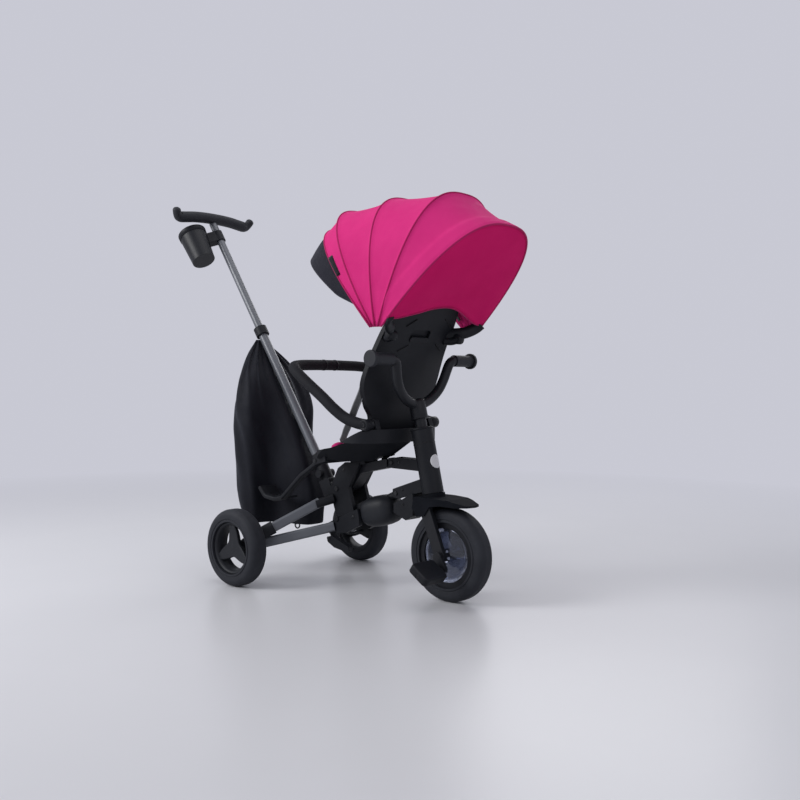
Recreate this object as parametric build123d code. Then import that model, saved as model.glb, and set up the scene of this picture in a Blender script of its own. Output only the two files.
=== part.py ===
"""Folding push tricycle for a small child, with its seat turned to face the parent.

Millimetres. +X points to the front of the tricycle, +Y to its left and +Z up. The pieces are drawn from
the floor (z = 0) with the front axle at FRONT_AXLE_X, and the rear axle lies a wheelbase behind it. They
are moved along X at the end, so that the origin lies on the floor under the middle of the whole. A point
in a side view is written (x, z).
"""
from build123d import *

import os
from math import asin, cos, degrees, radians, sin, sqrt

os.makedirs("parts", exist_ok=True)

# Rear wheels
REAR_WHEEL_R = 100.0
REAR_TYRE_WIDTH = 50.0
REAR_RIM_R = 68.0
REAR_TRACK = 470.0
HUB_WIDTH = 38.0
HUB_RIM_WALL = 9.0
HUB_WEB = 9.0
HUB_BOSS_R = 17.0
HUB_WINDOW_R = 23.0
HUB_WINDOW_PCD_R = 40.0
HUB_ARMS = 3
AXLE_R = 6.0
TYRE_SHOULDER = 17.0
TYRE_GROOVE = 1.6

# Front wheel, crank and pedals
FRONT_AXLE_X = 523.0
WHEELBASE = 523.0
FRONT_WHEEL_R = 113.5
FRONT_TYRE_WIDTH = 50.0
FRONT_RIM_R = 80.0
FRONT_RIM_WALL = 14.0
FRONT_RIM_WIDTH = 40.0
DISC_SIDES = 10
DISC_WALL = 3.0
DISC_RIM_Y = 15.0
DISC_HUB_Y = 26.0
FRONT_HUB_R = 17.0
CRANK_REACH = 15.0
CRANK_DROP = 27.0
CRANK_THICK = 9.0
CRANK_R = 12.0
PEDAL_GAP = 10.0
PEDAL_LENGTH = 80.0
PEDAL_DEPTH = 60.0
PEDAL_THICK = 22.0
PEDAL_TILT = 35.0
SPINDLE_R = 5.0

# Clearances
RUN = 0.06
SEAT_GAP = 0.1
CLEAR = 0.5
SIDE_PLAY = 1.0

# Link arms between the lower hub and the head tube: a parallelogram of four pivots
HUB_PIVOT = (185.0, 172.0)
LINK_RUN = 178.0
LINK_RISE = 79.0
UPPER_PIVOT_BACK = 15.0
UPPER_PIVOT_UP = 77.0
HUB_PIN_R = 6.0
HEAD_PIN_R = 5.0
LOWER_EYE_R = 24.0
LOWER_EYE_HALF = 24.0
UPPER_EYE_R = 18.0
UPPER_EYE_HALF = 20.0
FRONT_EYE_R = 12.0
FRONT_EYE_HALF = 11.5
LINK_TUBE_R = 11.0
UPPER_ARM_HEIGHT = 24.0
COVER_HALF = 48.0
COVER_ROUND = 17.0
HUB_JOINT_R = 79.0

# Lower hub plates and seat post cheeks
CHEEK_IN = 25.0
CHEEK_OUT = 36.0
PLATE_OUT = 50.0
SEAT_AXIS_X = 235.0
SEAT_PLATE_Z = 318.0
SEAT_PLATE_THICK = 9.0
SEAT_PLATE_R = 36.0
SPIGOT_R = 22.0
SPIGOT_HEIGHT = 18.0

# Rear legs and stays
LEG_TOP = (175.0, 49.0, 151.0)
LEG_FOOT = (FRONT_AXLE_X - WHEELBASE + 8.0, 190.0, 99.0)
STAY_TOP = (134.0, 62.0, 213.0)
STAY_FOOT = (FRONT_AXLE_X - WHEELBASE + 40.0, 182.0, 134.0)
LEG_WIDTH = 15.0
LEG_HEIGHT = 26.0
LEG_ROUND = 6.0
LEG_WALL = 2.0
SOCKET_R = 17.0
SOCKET_LENGTH = 34.0
BRACKET_BOSS_R = 20.0
BRACKET_THICK = 20.0
LUG_AT = (160.0, 222.0)
LUG_R = 12.0
WHEEL_GAP = 4.0

# Push pole
POLE_BASE = (58.0, 330.0)
POLE_LEAN = 33.8
LOWER_POLE_R = 13.0
UPPER_POLE_R = 11.2
POLE_WALL = 1.7
POLE_SINK = 60.0
COLLAR_AT = 416.0
COLLAR_R = 19.0
COLLAR_LENGTH = 26.0
POLE_LENGTH = 822.0
POLE_OVERLAP = 195.0
POLE_SOCKET_R = 17.5
POLE_SOCKET_DOWN = 95.0
KNOB_R = 11.0
KNOB_HALF = 27.0

# Push bar and cup
BAR_R = 14.0
BAR_HALF = 128.0
BAR_RISE = 14.931
BAR_MID_Z = POLE_BASE[1] + POLE_LENGTH * cos(radians(POLE_LEAN)) + BAR_RISE
BAR_END_DROP = 22.0
BAR_HORN = 26.0
BAR_HORN_R = 13.0
CUP_TOP_R = 41.0
CUP_BASE_R = 34.0
CUP_LENGTH = 104.0
CUP_WALL = 2.5
CUP_DOWN = 16.0
CUP_TOP_AT = POLE_LENGTH - CUP_DOWN
CUP_BACK = 39.0
CUP_SIDE = 60.0
CLIP_HEIGHT = 34.0
CLIP_DOWN = 54.0
CLIP_WALL = 4.0

# Head tube, fork and handlebar
HEAD_TOP = (430.0, 418.0)
HEAD_LEAN = 13.4
HEAD_BOTTOM_Z = 258.0
HEAD_R = 27.0
HEAD_WALL = 4.0
STEERER_R = 15.0
STEERER_WALL = 3.0
STEERER_TOP_Z = 462.0
STEERER_BOTTOM_Z = 236.0
BUSH_LENGTH = 12.0
CLEVIS_IN = 12.5
CLEVIS_OUT = 19.5
CROWN_X = 463.5
CROWN_AHEAD = 28.0
FORK_IN = 33.0
FORK_OUT = 45.0
BLADE_WIDTH = 28.0
DROPOUT_R = 15.0
FENDER_HALF = 49.0
FENDER_TIP_X = 597.0
HANDLEBAR_X = 436.0
HANDLEBAR_Z = 587.0
HANDLEBAR_R = 11.5
HANDLEBAR_WALL = 1.8
HANDLEBAR_BEND_Y = 104.0
HANDLEBAR_KNEE = (430.0, 99.0, 543.0)
HANDLEBAR_FOOT = (418.0, 34.0, 474.0)
HANDLEBAR_HALF = 190.0
HANDLEBAR_BEND_R = 22.0
BAR_COLLAR_R = 19.0
BAR_COLLAR_Z = 440.0
BAR_COLLAR_TOP_Z = 478.0
GRIP_R = 15.0
GRIP_START = 122.0
GRIP_DISC_R = 20.5
GRIP_DISC = 9.0

# Seat
SEAT_FRONT_X = 192.0
SEAT_BACK_X = 392.0
SEAT_HALF = 150.0
SEAT_WALL = 7.0
SEAT_BASE_Z = 328.0
SEAT_FLOOR_Z = 352.0
SEAT_CORNER = 34.0
SEAT_REAR_CORNER = 75.0
SEAT_LEDGE_Z = 382.0
BOW_X = 312.7
BOW_NORMAL = (0.758, 0.652, -1.2)
RIB_IN = 96.0
RIB_OUT = 112.0
SEAT_PAD_INSET = 22.0
SEAT_PAD_HALF = SEAT_HALF - SEAT_PAD_INSET
SEAT_PAD_THICK = 32.0
SEAT_PAD_LENGTH = 132.0

# Backrest
RECLINE_PIVOT = (348.0, 404.0)
RECLINE_ROD_R = 5.0
BACK_FOOT = (345.0, 405.0)
BACK_MIDDLE = (394.0, 585.0)
BACK_TOP = (498.0, 755.0)
BACK_SHELL = 14.0
BACK_CURVE_R = 1200.0
BACK_CURVE_SPAN = 16.0
BACK_PAD = 22.0
BACK_LUG_IN = 76.0
BACK_LUG_OUT = 94.0
BACK_LUG_R = 13.0
POCKET_WIDTH = 72.0
POCKET_HEIGHT = 34.0
POCKET_DEPTH = 8.0
POCKET_Z = 646.0
POCKET_LEAN = 30.0
POCKET_CORNER = 9.0
RECLINE_GRIP_HEIGHT = 14.0
RECLINE_GRIP_CORNER = 6.5

# Bumper bar and footrest
BUMPER_PIVOT = (362.0, 427.0)
BUMPER_R = 14.0
BUMPER_PIVOT_Y = 127.0
BUMPER_BEND = (318.0, 139.0, 447.0)
BUMPER_RAIL = (246.0, 150.0, 491.0)
BUMPER_CORNER = (138.0, 160.0, 570.0)
BUMPER_FRONT = (106.0, 0.0, 577.0)
BUMPER_PIN_R = 5.0
BUMPER_EYE_R = 15.0
FOOTREST_PIVOT = (188.0, 330.0)
FOOTREST_TUBE_R = 9.0
FOOTREST_ROD_R = 5.0
FOOT_ARM_OUT = 122.0
FOOT_ARM_WIDTH = 22.0
FOOT_ARM_THICK = 11.0
TRAY_IN = 62.0
TRAY_THICK = 6.0
TRAY_SLOTS = 3
TRAY_SLOT_WIDTH = 7.0

# Canopy: nested curved sections on one pivot line
CANOPY_PIVOT = (443.5, 643.0)
CANOPY_WALL = 3.0
CANOPY_POWER = 2.68
CANOPY_START_H = 60.0
CANOPY_LEG = 12.0
CANOPY_EYE_R = 12.0
CANOPY_PIN_R = 4.0
LEG_INSET = 0.6
LEG_LAP = 8.0
MOUNT_IN = 122.0
MOUNT_OUT = 140.0
MOUNT_BOSS_R = 13.0
CAP_R = 8.0
CAP_THICK = 3.0
NEST_STEP = 3.5
REAR_HALF = 176.0
REAR_HEIGHT = 342.0
MID_RISE = 4.0
FORE_RISE = 4.0
FORE_EDGE_RISE = 36.0
FRONT_RISE = 5.0
MID_HEIGHT = REAR_HEIGHT + MID_RISE
FORE_HEIGHT = MID_HEIGHT + FORE_RISE
FORE_EDGE_HEIGHT = FORE_HEIGHT + FORE_EDGE_RISE
FRONT_HEIGHT = FORE_EDGE_HEIGHT + FRONT_RISE
SEAM_REAR = 44.5
SEAM_THREE = 18.8
SEAM_TWO = -10.0
SEAM_ONE = -33.3
FRONT_EDGE = -43.1
DRAPE_HALF = 146.0
DRAPE_HEIGHT = 88.0
DRAPE_BACK = 0.6
HOOP_WIDTH = 6.0
HOOP_BACK = 2.5
HOOP_DROP = 6.0
HOOP_THICK = 5.0
VISOR_EDGE = -57.0
VISOR_RISE = 21.0
VISOR_NARROW = 20.0
VISOR_HEIGHT = FRONT_HEIGHT + VISOR_RISE
VISOR_HALF = REAR_HALF - VISOR_NARROW
VISOR_WALL = 3.0
VISOR_START = 15.0
VISOR_DRAW_IN = 3.0

# Storage bag
BAG_TOP_Z = 652.0
BAG_BASE_Z = 141.0
BAG_POLE_GAP = 0.3
BAG_WALL = 4.0
BAG_SHARE = 0.94

# Harness, buckle and foot pedal
STRAP_Y = 46.0
STRAP_WIDTH = 26.0
STRAP_THICK = 2.5
STRAP_LOW_Z = 470.0
STRAP_HIGH_Z = 690.0
BUCKLE_SIZE = (46.0, 40.0, 16.0)
BUCKLE_X = 268.0
BUCKLE_Y = -6.0
FOOT_PEDAL_PIVOT = (173.0, 121.0)
FOOT_PEDAL_PIN_R = 4.0
FOOT_PEDAL_IN = 51.0
FOOT_PEDAL_OUT = 68.0
FOOT_LUG_IN = 42.0


def side_face(points, rounding=0.0):
    """A closed outline in the side view, from (x, z) points."""
    face = make_face(Plane.XZ * Polyline(*points, close=True))
    return fillet(face.vertices(), rounding) if rounding else face


def slab(points, y_low, y_high, rounding=0.0):
    """A side-view outline between two Y planes."""
    face = side_face(points, rounding)
    return extrude(Pos(0, y_low, 0) * face, amount=y_high - y_low, dir=(0, 1, 0))


def both_sides(points, y_in, y_out, rounding=0.0):
    """The same slab on the left and on the right."""
    left = slab(points, y_in, y_out, rounding)
    return left, mirror(left, about=Plane.XZ)


def rod(start, end, radius):
    """A round bar from one point to another."""
    line = Vector(*end) - Vector(*start)
    plane = Plane(origin=start, z_dir=line)
    return plane * Cylinder(radius, line.length, align=(Align.CENTER, Align.CENTER, Align.MIN))


def cross_rod(point, y_low, y_high, radius):
    """A round bar along Y through a side-view point."""
    return rod((point[0], y_low, point[1]), (point[0], y_high, point[1]), radius)


def group(*shapes):
    """Separate solids as one node."""
    return Compound([solid for shape in shapes for solid in shape.solids()])


def pair(left):
    """A left piece with its mirror image, as one node."""
    return group(left, mirror(left, about=Plane.XZ))


def lean(point, angle, distance):
    """The side-view point reached along a line that leans back by an angle."""
    return (point[0] - sin(radians(angle)) * distance, point[1] + cos(radians(angle)) * distance)


def about(pivot, offsets):
    """Side-view points from their offsets to a pivot."""
    return [(pivot[0] + x, pivot[1] + z) for x, z in offsets]


def head_point(z):
    """The point of the steering axis at a height."""
    return (HEAD_TOP[0] - (z - HEAD_TOP[1]) * sin(radians(HEAD_LEAN)) / cos(radians(HEAD_LEAN)), z)


def head_rod(z_low, z_high, radius):
    low = head_point(z_low)
    high = head_point(z_high)
    return rod((low[0], 0, low[1]), (high[0], 0, high[1]), radius)


def pole_point(distance):
    """The point of the pole axis at a distance up from its base."""
    return lean(POLE_BASE, POLE_LEAN, distance)


def pole_rod(low, high, radius):
    start = pole_point(low)
    end = pole_point(high)
    return rod((start[0], 0, start[1]), (end[0], 0, end[1]), radius)


# Pivots of the link arms
head_low_pivot = (HUB_PIVOT[0] + LINK_RUN, HUB_PIVOT[1] + LINK_RISE)
post_pivot = (HUB_PIVOT[0] - UPPER_PIVOT_BACK, HUB_PIVOT[1] + UPPER_PIVOT_UP)
head_high_pivot = (post_pivot[0] + LINK_RUN, post_pivot[1] + LINK_RISE)
link_length = sqrt(LINK_RUN ** 2 + LINK_RISE ** 2)
link_dir = (LINK_RUN / link_length, LINK_RISE / link_length)
front_axle = (FRONT_AXLE_X, FRONT_WHEEL_R)
rear_axle = (FRONT_AXLE_X - WHEELBASE, REAR_WHEEL_R)
wheel_y = REAR_TRACK / 2


# Wheels
def tyre(radius, rim_r, width):
    """A tyre about the Y axis, with round shoulders and a groove in each wall."""
    section = Pos((radius + rim_r) / 2, 0) * Rectangle(radius - rim_r, width)
    outer = section.vertices().sort_by(Axis.X)[-2:]
    ring = revolve(fillet(outer, TYRE_SHOULDER), axis=Axis.Y)
    for wall_y in (-width / 2, width / 2):
        ring -= revolve(Pos(rim_r + 4 * TYRE_GROOVE, wall_y) * Circle(TYRE_GROOVE), axis=Axis.Y)
    return ring


def ring_about_y(outer_r, inner_r, y_low, y_high):
    middle = Pos((outer_r + inner_r) / 2, (y_low + y_high) / 2)
    return revolve(middle * Rectangle(outer_r - inner_r, y_high - y_low), axis=Axis.Y)


def rear_hub():
    """Hub of the left wheel: rim, three arms and a boss that is closed on the outside."""
    outer_r = REAR_RIM_R - SEAT_GAP
    rim = ring_about_y(outer_r, outer_r - HUB_RIM_WALL, -HUB_WIDTH / 2, HUB_WIDTH / 2)
    web_high = HUB_WIDTH / 2 - 4
    web_low = web_high - HUB_WEB
    web = cross_rod((0, 0), web_low, web_high, outer_r - HUB_RIM_WALL)
    for arm in range(HUB_ARMS):
        angle = radians(90 + 180 / HUB_ARMS + 360 / HUB_ARMS * arm)
        at = (HUB_WINDOW_PCD_R * cos(angle), HUB_WINDOW_PCD_R * sin(angle))
        web -= cross_rod(at, web_low, web_high, HUB_WINDOW_R)
    boss = cross_rod((0, 0), -HUB_WIDTH / 2, web_high, HUB_BOSS_R)
    bore = cross_rod((0, 0), -HUB_WIDTH / 2, web_low, AXLE_R + RUN)
    return rim + web + boss - bore


hub_left = rear_hub()
rear_place = Pos(rear_axle[0], wheel_y, rear_axle[1])
rear_tyre_left = rear_place * tyre(REAR_WHEEL_R, REAR_RIM_R, REAR_TYRE_WIDTH)
rear_hub_left = rear_place * hub_left
axle_end = wheel_y + HUB_WIDTH / 2 - 4 - HUB_WEB - CLEAR
bracket_out = wheel_y - REAR_TYRE_WIDTH / 2 - WHEEL_GAP
bracket_in = bracket_out - BRACKET_THICK
axle_left = cross_rod(rear_axle, bracket_in, axle_end, AXLE_R)

front_place = Pos(front_axle[0], 0, front_axle[1])
front_tyre = front_place * tyre(FRONT_WHEEL_R, FRONT_RIM_R, FRONT_TYRE_WIDTH)
rim_out_r = FRONT_RIM_R - SEAT_GAP
rim_in_r = rim_out_r - FRONT_RIM_WALL
front_rim = front_place * ring_about_y(rim_out_r, rim_in_r, -FRONT_RIM_WIDTH / 2, FRONT_RIM_WIDTH / 2)


def disc_cone(inset):
    """One faceted face of the clear wheel, from the rim up to the hub, as a solid."""
    low = Plane.XZ.offset(-(DISC_RIM_Y - inset)) * RegularPolygon(rim_in_r - SEAT_GAP, DISC_SIDES)
    high = Plane.XZ.offset(-(DISC_HUB_Y - inset)) * RegularPolygon(FRONT_HUB_R + inset, DISC_SIDES)
    return loft([low, high])


def clear_disc():
    """Two faceted faces with a barrel between them, round the crank axle."""
    face = disc_cone(0) - disc_cone(DISC_WALL)
    faces = face + mirror(face, about=Plane.XZ)
    barrel = cross_rod((0, 0), -DISC_HUB_Y, DISC_HUB_Y, FRONT_HUB_R)
    rim_joint = ring_about_y(rim_in_r - SEAT_GAP, rim_in_r - 8, -DISC_RIM_Y, DISC_RIM_Y)
    return faces + barrel + rim_joint - cross_rod((0, 0), -DISC_HUB_Y, DISC_HUB_Y, AXLE_R)


front_disc = front_place * clear_disc()

crank_in = FORK_OUT + SIDE_PLAY
crank_out = crank_in + CRANK_THICK
pedal_in = crank_out + PEDAL_GAP
pedal_out = pedal_in + PEDAL_LENGTH
right_crank_end = (front_axle[0] + CRANK_REACH, front_axle[1] - CRANK_DROP)
left_crank_end = (front_axle[0] - CRANK_REACH, front_axle[1] + CRANK_DROP)


def crank_arm(end, side):
    """A flat arm from the wheel axle to a pedal spindle, on one side."""
    y_low, y_high = sorted((side * crank_in, side * crank_out))
    spindle_low, spindle_high = sorted((side * crank_in, side * (pedal_out - SIDE_PLAY)))
    arm = cross_rod(front_axle, y_low, y_high, CRANK_R) + cross_rod(end, y_low, y_high, CRANK_R)
    across = Vector(end[1] - front_axle[1], 0, front_axle[0] - end[0]).normalized() * CRANK_R
    corners = [(front_axle[0] + across.X, front_axle[1] + across.Z), (end[0] + across.X, end[1] + across.Z),
               (end[0] - across.X, end[1] - across.Z), (front_axle[0] - across.X, front_axle[1] - across.Z)]
    return arm + slab(corners, y_low, y_high) + cross_rod(end, spindle_low, spindle_high, SPINDLE_R)


crank = cross_rod(front_axle, -crank_out, crank_out, AXLE_R)
crank += crank_arm(right_crank_end, -1)
crank += crank_arm(left_crank_end, 1)


def pedal(end, side):
    """A block with rounded corners that turns on its spindle."""
    block = Box(PEDAL_DEPTH, PEDAL_LENGTH, PEDAL_THICK)
    block = fillet(block.edges().filter_by(Axis.Z), PEDAL_THICK / 2)
    block = fillet(block.edges().group_by(Axis.Z)[-1] + block.edges().group_by(Axis.Z)[0], PEDAL_THICK / 5)
    block = Pos(end[0], side * (pedal_in + pedal_out) / 2, end[1]) * Rot(0, PEDAL_TILT, 0) * block
    return block - cross_rod(end, -pedal_out, pedal_out, SPINDLE_R + RUN)


pedal_right = pedal(right_crank_end, -1)
pedal_left = pedal(left_crank_end, 1)


# Lower hub, seat post and their pins
plate_outline = [(144, 155), (196, 178), (266, 208), (270, 165), (215, 138), (156, 129)]
joint_disc = cross_rod(HUB_PIVOT, -PLATE_OUT, PLATE_OUT, HUB_JOINT_R)
hub_pin = cross_rod(HUB_PIVOT, -PLATE_OUT - 3, PLATE_OUT + 3, HUB_PIN_R)
post_pin = cross_rod(post_pivot, -CHEEK_OUT - 3, CHEEK_OUT + 3, HUB_PIN_R)
plates = both_sides(plate_outline, CHEEK_OUT, PLATE_OUT, 9)
hub_spacer = slab([(146, 133), (163, 139), (158, 157), (148, 153)], -CHEEK_OUT, CHEEK_OUT)
foot_pin = cross_rod(FOOT_PEDAL_PIVOT, -FOOT_PEDAL_OUT - 2, -FOOT_LUG_IN, FOOT_PEDAL_PIN_R)
foot_lug_outline = [(158, 136), (192, 140), (FOOT_PEDAL_PIVOT[0] + 10, FOOT_PEDAL_PIVOT[1] - 8),
                    (FOOT_PEDAL_PIVOT[0] - 8, FOOT_PEDAL_PIVOT[1] - 8)]
foot_pedal_lug = slab(foot_lug_outline, -PLATE_OUT, -FOOT_LUG_IN, 3)
lower_hub = ((plates[0] + plates[1]) & joint_disc) + hub_spacer + foot_pedal_lug - hub_pin - foot_pin

cheek_top = SEAT_PLATE_Z + 3
cheek_outline = [(176, 156), (234, 190), (213, 256), (252, cheek_top), (200, cheek_top),
                 (174, 304), (144, 246)]
cheeks = both_sides(cheek_outline, CHEEK_IN, CHEEK_OUT)
seat_plate_top = SEAT_PLATE_Z + SEAT_PLATE_THICK
seat_plate = rod((SEAT_AXIS_X, 0, SEAT_PLATE_Z), (SEAT_AXIS_X, 0, seat_plate_top), SEAT_PLATE_R)
plate_notch = Pos(SEAT_AXIS_X + 5 + SEAT_PLATE_R, 0, SEAT_PLATE_Z) * Box(2 * SEAT_PLATE_R, 2 * CHEEK_IN, 60)
spigot_top = seat_plate_top + SPIGOT_HEIGHT
spigot = rod((SEAT_AXIS_X, 0, seat_plate_top - 1), (SEAT_AXIS_X, 0, spigot_top), SPIGOT_R)
seat_post = cheeks[0] + cheeks[1] + (seat_plate - plate_notch) + spigot - hub_pin - post_pin


# Link arms
def link_point(distance, offset):
    """A point along the lower arm from the hub pivot, and up from its line."""
    return (HUB_PIVOT[0] + link_dir[0] * distance - link_dir[1] * offset,
            HUB_PIVOT[1] + link_dir[1] * distance + link_dir[0] * offset)


tongue = slab([link_point(0, -19), link_point(112, -19), link_point(112, 17), link_point(0, 17)],
              -LOWER_EYE_HALF, LOWER_EYE_HALF)
tube_start = link_point(60, 0)
lower_arm = cross_rod(HUB_PIVOT, -LOWER_EYE_HALF, LOWER_EYE_HALF, LOWER_EYE_R) + tongue
lower_arm += rod((tube_start[0], 0, tube_start[1]), (head_low_pivot[0], 0, head_low_pivot[1]), LINK_TUBE_R)
lower_arm += cross_rod(head_low_pivot, -FRONT_EYE_HALF, FRONT_EYE_HALF, FRONT_EYE_R)
lower_arm -= cross_rod(HUB_PIVOT, -LOWER_EYE_HALF, LOWER_EYE_HALF, HUB_PIN_R + RUN)
lower_arm -= cross_rod(head_low_pivot, -FRONT_EYE_HALF - 1, FRONT_EYE_HALF + 1, HEAD_PIN_R + RUN)
clevis_room = cross_rod(head_low_pivot, CLEVIS_IN - CLEAR, CLEVIS_OUT + CLEAR, FRONT_EYE_R + 5)
lower_arm -= clevis_room
lower_arm -= mirror(clevis_room, about=Plane.XZ)

cover_outline = [(240, 153), (300, 157), (345, 178), (352, 218), (338, 244), (300, 244), (262, 228)]
cover = slab(cover_outline, -COVER_HALF, COVER_HALF, 12)
cover = fillet(cover.edges().filter_by(lambda e: abs(abs(e.center().Y) - COVER_HALF) < 0.01), COVER_ROUND)
hub_cover = cover - cross_rod(HUB_PIVOT, -COVER_HALF, COVER_HALF, HUB_JOINT_R + SIDE_PLAY) - lower_arm

arm_back = (196.0, 295.0)
arm_half = UPPER_ARM_HEIGHT / 2
arm_outline = [(arm_back[0], arm_back[1] + arm_half), (arm_back[0] - 8, arm_back[1] - arm_half),
               (post_pivot[0] + 6, post_pivot[1] - UPPER_EYE_R + 2), (208, 249), (244, 295),
               (head_high_pivot[0] - 16, head_high_pivot[1] - arm_half - 3),
               (head_high_pivot[0] - 16, head_high_pivot[1] + arm_half - 3)]
upper_arm = slab(arm_outline, -UPPER_EYE_HALF, UPPER_EYE_HALF, 3)
upper_arm += cross_rod(post_pivot, -UPPER_EYE_HALF, UPPER_EYE_HALF, UPPER_EYE_R)
upper_arm += cross_rod(head_high_pivot, -FRONT_EYE_HALF, FRONT_EYE_HALF, FRONT_EYE_R)
arm_neck = about(head_high_pivot, [(-22, -12), (0, -12), (0, 9), (-22, 7)])
upper_arm += slab(arm_neck, -FRONT_EYE_HALF, FRONT_EYE_HALF)
upper_arm -= cross_rod(post_pivot, -UPPER_EYE_HALF, UPPER_EYE_HALF, HUB_PIN_R + RUN)
upper_arm -= cross_rod(head_high_pivot, -FRONT_EYE_HALF, FRONT_EYE_HALF, HEAD_PIN_R + RUN)
fold_pins = group(hub_pin, post_pin, foot_pin)


# Head tube with its two clevises, bushes and the latch block
head_core = head_rod(HEAD_BOTTOM_Z, HEAD_TOP[1], HEAD_R - HEAD_WALL)
head_skin = head_rod(HEAD_BOTTOM_Z, HEAD_TOP[1], HEAD_R)
high_clevis = about(head_high_pivot, [(-11, -12), (4, -14)]) + [(440, 312), (437, 340)]
high_clevis += about(head_high_pivot, [(2, 13), (-11, 11)])
low_clevis = about(head_low_pivot, [(-11, -10), (8, -13)]) + [(450, 262), (446, 294)]
low_clevis += about(head_low_pivot, [(2, 15), (-11, 10)])
head_pins_solid = [cross_rod(head_high_pivot, -CLEVIS_OUT - 3, CLEVIS_OUT + 3, HEAD_PIN_R),
                   cross_rod(head_low_pivot, -CLEVIS_OUT - 3, CLEVIS_OUT + 3, HEAD_PIN_R)]
web_room = 1000.0


def clevis(outline, pivot):
    """Two ears beside an arm's eye, joined by a web that stays clear of the eye."""
    ears = both_sides(outline, CLEVIS_IN, CLEVIS_OUT, 2)
    web = slab(outline, -CLEVIS_IN, CLEVIS_IN)
    keep = Pos(pivot[0] + FRONT_EYE_R + 10 + web_room / 2, 0, pivot[1]) * Box(web_room, web_room, web_room)
    return ears[0] + ears[1] + (web & keep)


head_tube = head_skin + clevis(high_clevis, head_high_pivot) + clevis(low_clevis, head_low_pivot)
head_tube -= head_core
for head_pin in head_pins_solid:
    head_tube -= head_pin
head_pins = group(*head_pins_solid)
steerer_hole = head_rod(HEAD_BOTTOM_Z, HEAD_TOP[1], STEERER_R + RUN)
bush_low = head_rod(HEAD_BOTTOM_Z, HEAD_BOTTOM_Z + BUSH_LENGTH, HEAD_R - HEAD_WALL) - steerer_hole
bush_high = head_rod(HEAD_TOP[1] - BUSH_LENGTH, HEAD_TOP[1], HEAD_R - HEAD_WALL) - steerer_hole
head_bushes = group(bush_low, bush_high)
latch_outline = [(361, 226), (361, 203), (402, 187), (424, 200), (424, 258), (388, 238)]
latch_block = slab(latch_outline, -26, 26, 4) - head_tube

# Fork, mudguard and steerer
steerer = head_rod(STEERER_BOTTOM_Z, STEERER_TOP_Z, STEERER_R)
steerer -= head_rod(STEERER_BOTTOM_Z, STEERER_TOP_Z, STEERER_R - STEERER_WALL)
steerer_solid = head_rod(STEERER_BOTTOM_Z, STEERER_TOP_Z, STEERER_R)
crown_low = 2 * FRONT_WHEEL_R + 3
crown_top = HEAD_BOTTOM_Z - 10
blade = [(CROWN_X - BLADE_WIDTH / 2, crown_top), (CROWN_X + BLADE_WIDTH / 2 + 6, crown_top),
         (front_axle[0] + DROPOUT_R, front_axle[1]), (front_axle[0] - DROPOUT_R, front_axle[1])]
blades = both_sides(blade, FORK_IN, FORK_OUT)
dropout = cross_rod(front_axle, FORK_IN, FORK_OUT, DROPOUT_R)
crown_outline = [(CROWN_X - BLADE_WIDTH / 2, crown_low), (CROWN_X + CROWN_AHEAD, crown_low),
                 (CROWN_X + CROWN_AHEAD, crown_top), (CROWN_X - BLADE_WIDTH / 2, crown_top)]
crown = slab(crown_outline, -FORK_OUT, FORK_OUT)
fork = blades[0] + blades[1] + dropout + mirror(dropout, about=Plane.XZ) + crown
fork -= cross_rod(front_axle, -FORK_OUT, FORK_OUT, AXLE_R + RUN)
fork -= steerer_solid

fender_profile = about((CROWN_X, crown_low), [(-24, -6), (-8, -26), (14, -22), (30, 1)])
fender_profile += about((front_axle[0], crown_low), [(0, 5), (40, 3)])
fender_profile += about((FENDER_TIP_X, crown_low), [(0, 4), (-4, 8)])
fender_profile += [(front_axle[0] + 20, crown_low + 20), (CROWN_X + 28, HEAD_BOTTOM_Z - 6),
                   (CROWN_X - 18, crown_top + 4)]
fender_side = [(CROWN_X - 40, FENDER_HALF), (CROWN_X + 40, FENDER_HALF), (FENDER_TIP_X - 38, FENDER_HALF - 9),
               (FENDER_TIP_X - 8, FENDER_HALF / 2)]
fender_far_side = [(x, -y) for x, y in reversed(fender_side)]
fender_plan = make_face(Polyline(*fender_side, (FENDER_TIP_X, 0), *fender_far_side, close=True))
fender_plan_prism = extrude(Pos(0, 0, crown_low - 60) * fender_plan, amount=140, dir=(0, 0, 1))
tyre_room = cross_rod(front_axle, -FORK_IN, FORK_IN, FRONT_WHEEL_R + 4)
fender = slab(fender_profile, -FENDER_HALF, FENDER_HALF) & fender_plan_prism
collar_low = head_point(crown_low + 8)
collar_high = head_point(HEAD_BOTTOM_Z - SIDE_PLAY)
fender += rod((collar_low[0], 0, collar_low[1]), (collar_high[0], 0, collar_high[1]), HEAD_R + 2)
blade_prism = slab(blade, -FORK_OUT, FORK_OUT)
fender = fender - tyre_room - steerer_solid - fork - blade_prism

# Handlebar and grips
bar_left = [HANDLEBAR_FOOT, HANDLEBAR_KNEE, (HANDLEBAR_X, HANDLEBAR_BEND_Y, HANDLEBAR_Z),
            (HANDLEBAR_X, HANDLEBAR_HALF, HANDLEBAR_Z)]
bar_right = [(x, -y, z) for x, y, z in reversed(bar_left)]
bar_line = FilletPolyline(*bar_right, *bar_left, radius=HANDLEBAR_BEND_R)
bar_plane = Plane(origin=bar_line @ 0, z_dir=bar_line % 0)
handlebar = sweep(bar_plane * Circle(HANDLEBAR_R), path=bar_line)
handlebar += head_rod(BAR_COLLAR_Z, BAR_COLLAR_TOP_Z, BAR_COLLAR_R)
handlebar -= sweep(bar_plane * Circle(HANDLEBAR_R - HANDLEBAR_WALL), path=bar_line)
handlebar -= steerer_solid
grip_left = cross_rod((HANDLEBAR_X, HANDLEBAR_Z), GRIP_START, HANDLEBAR_HALF, GRIP_R)
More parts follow.
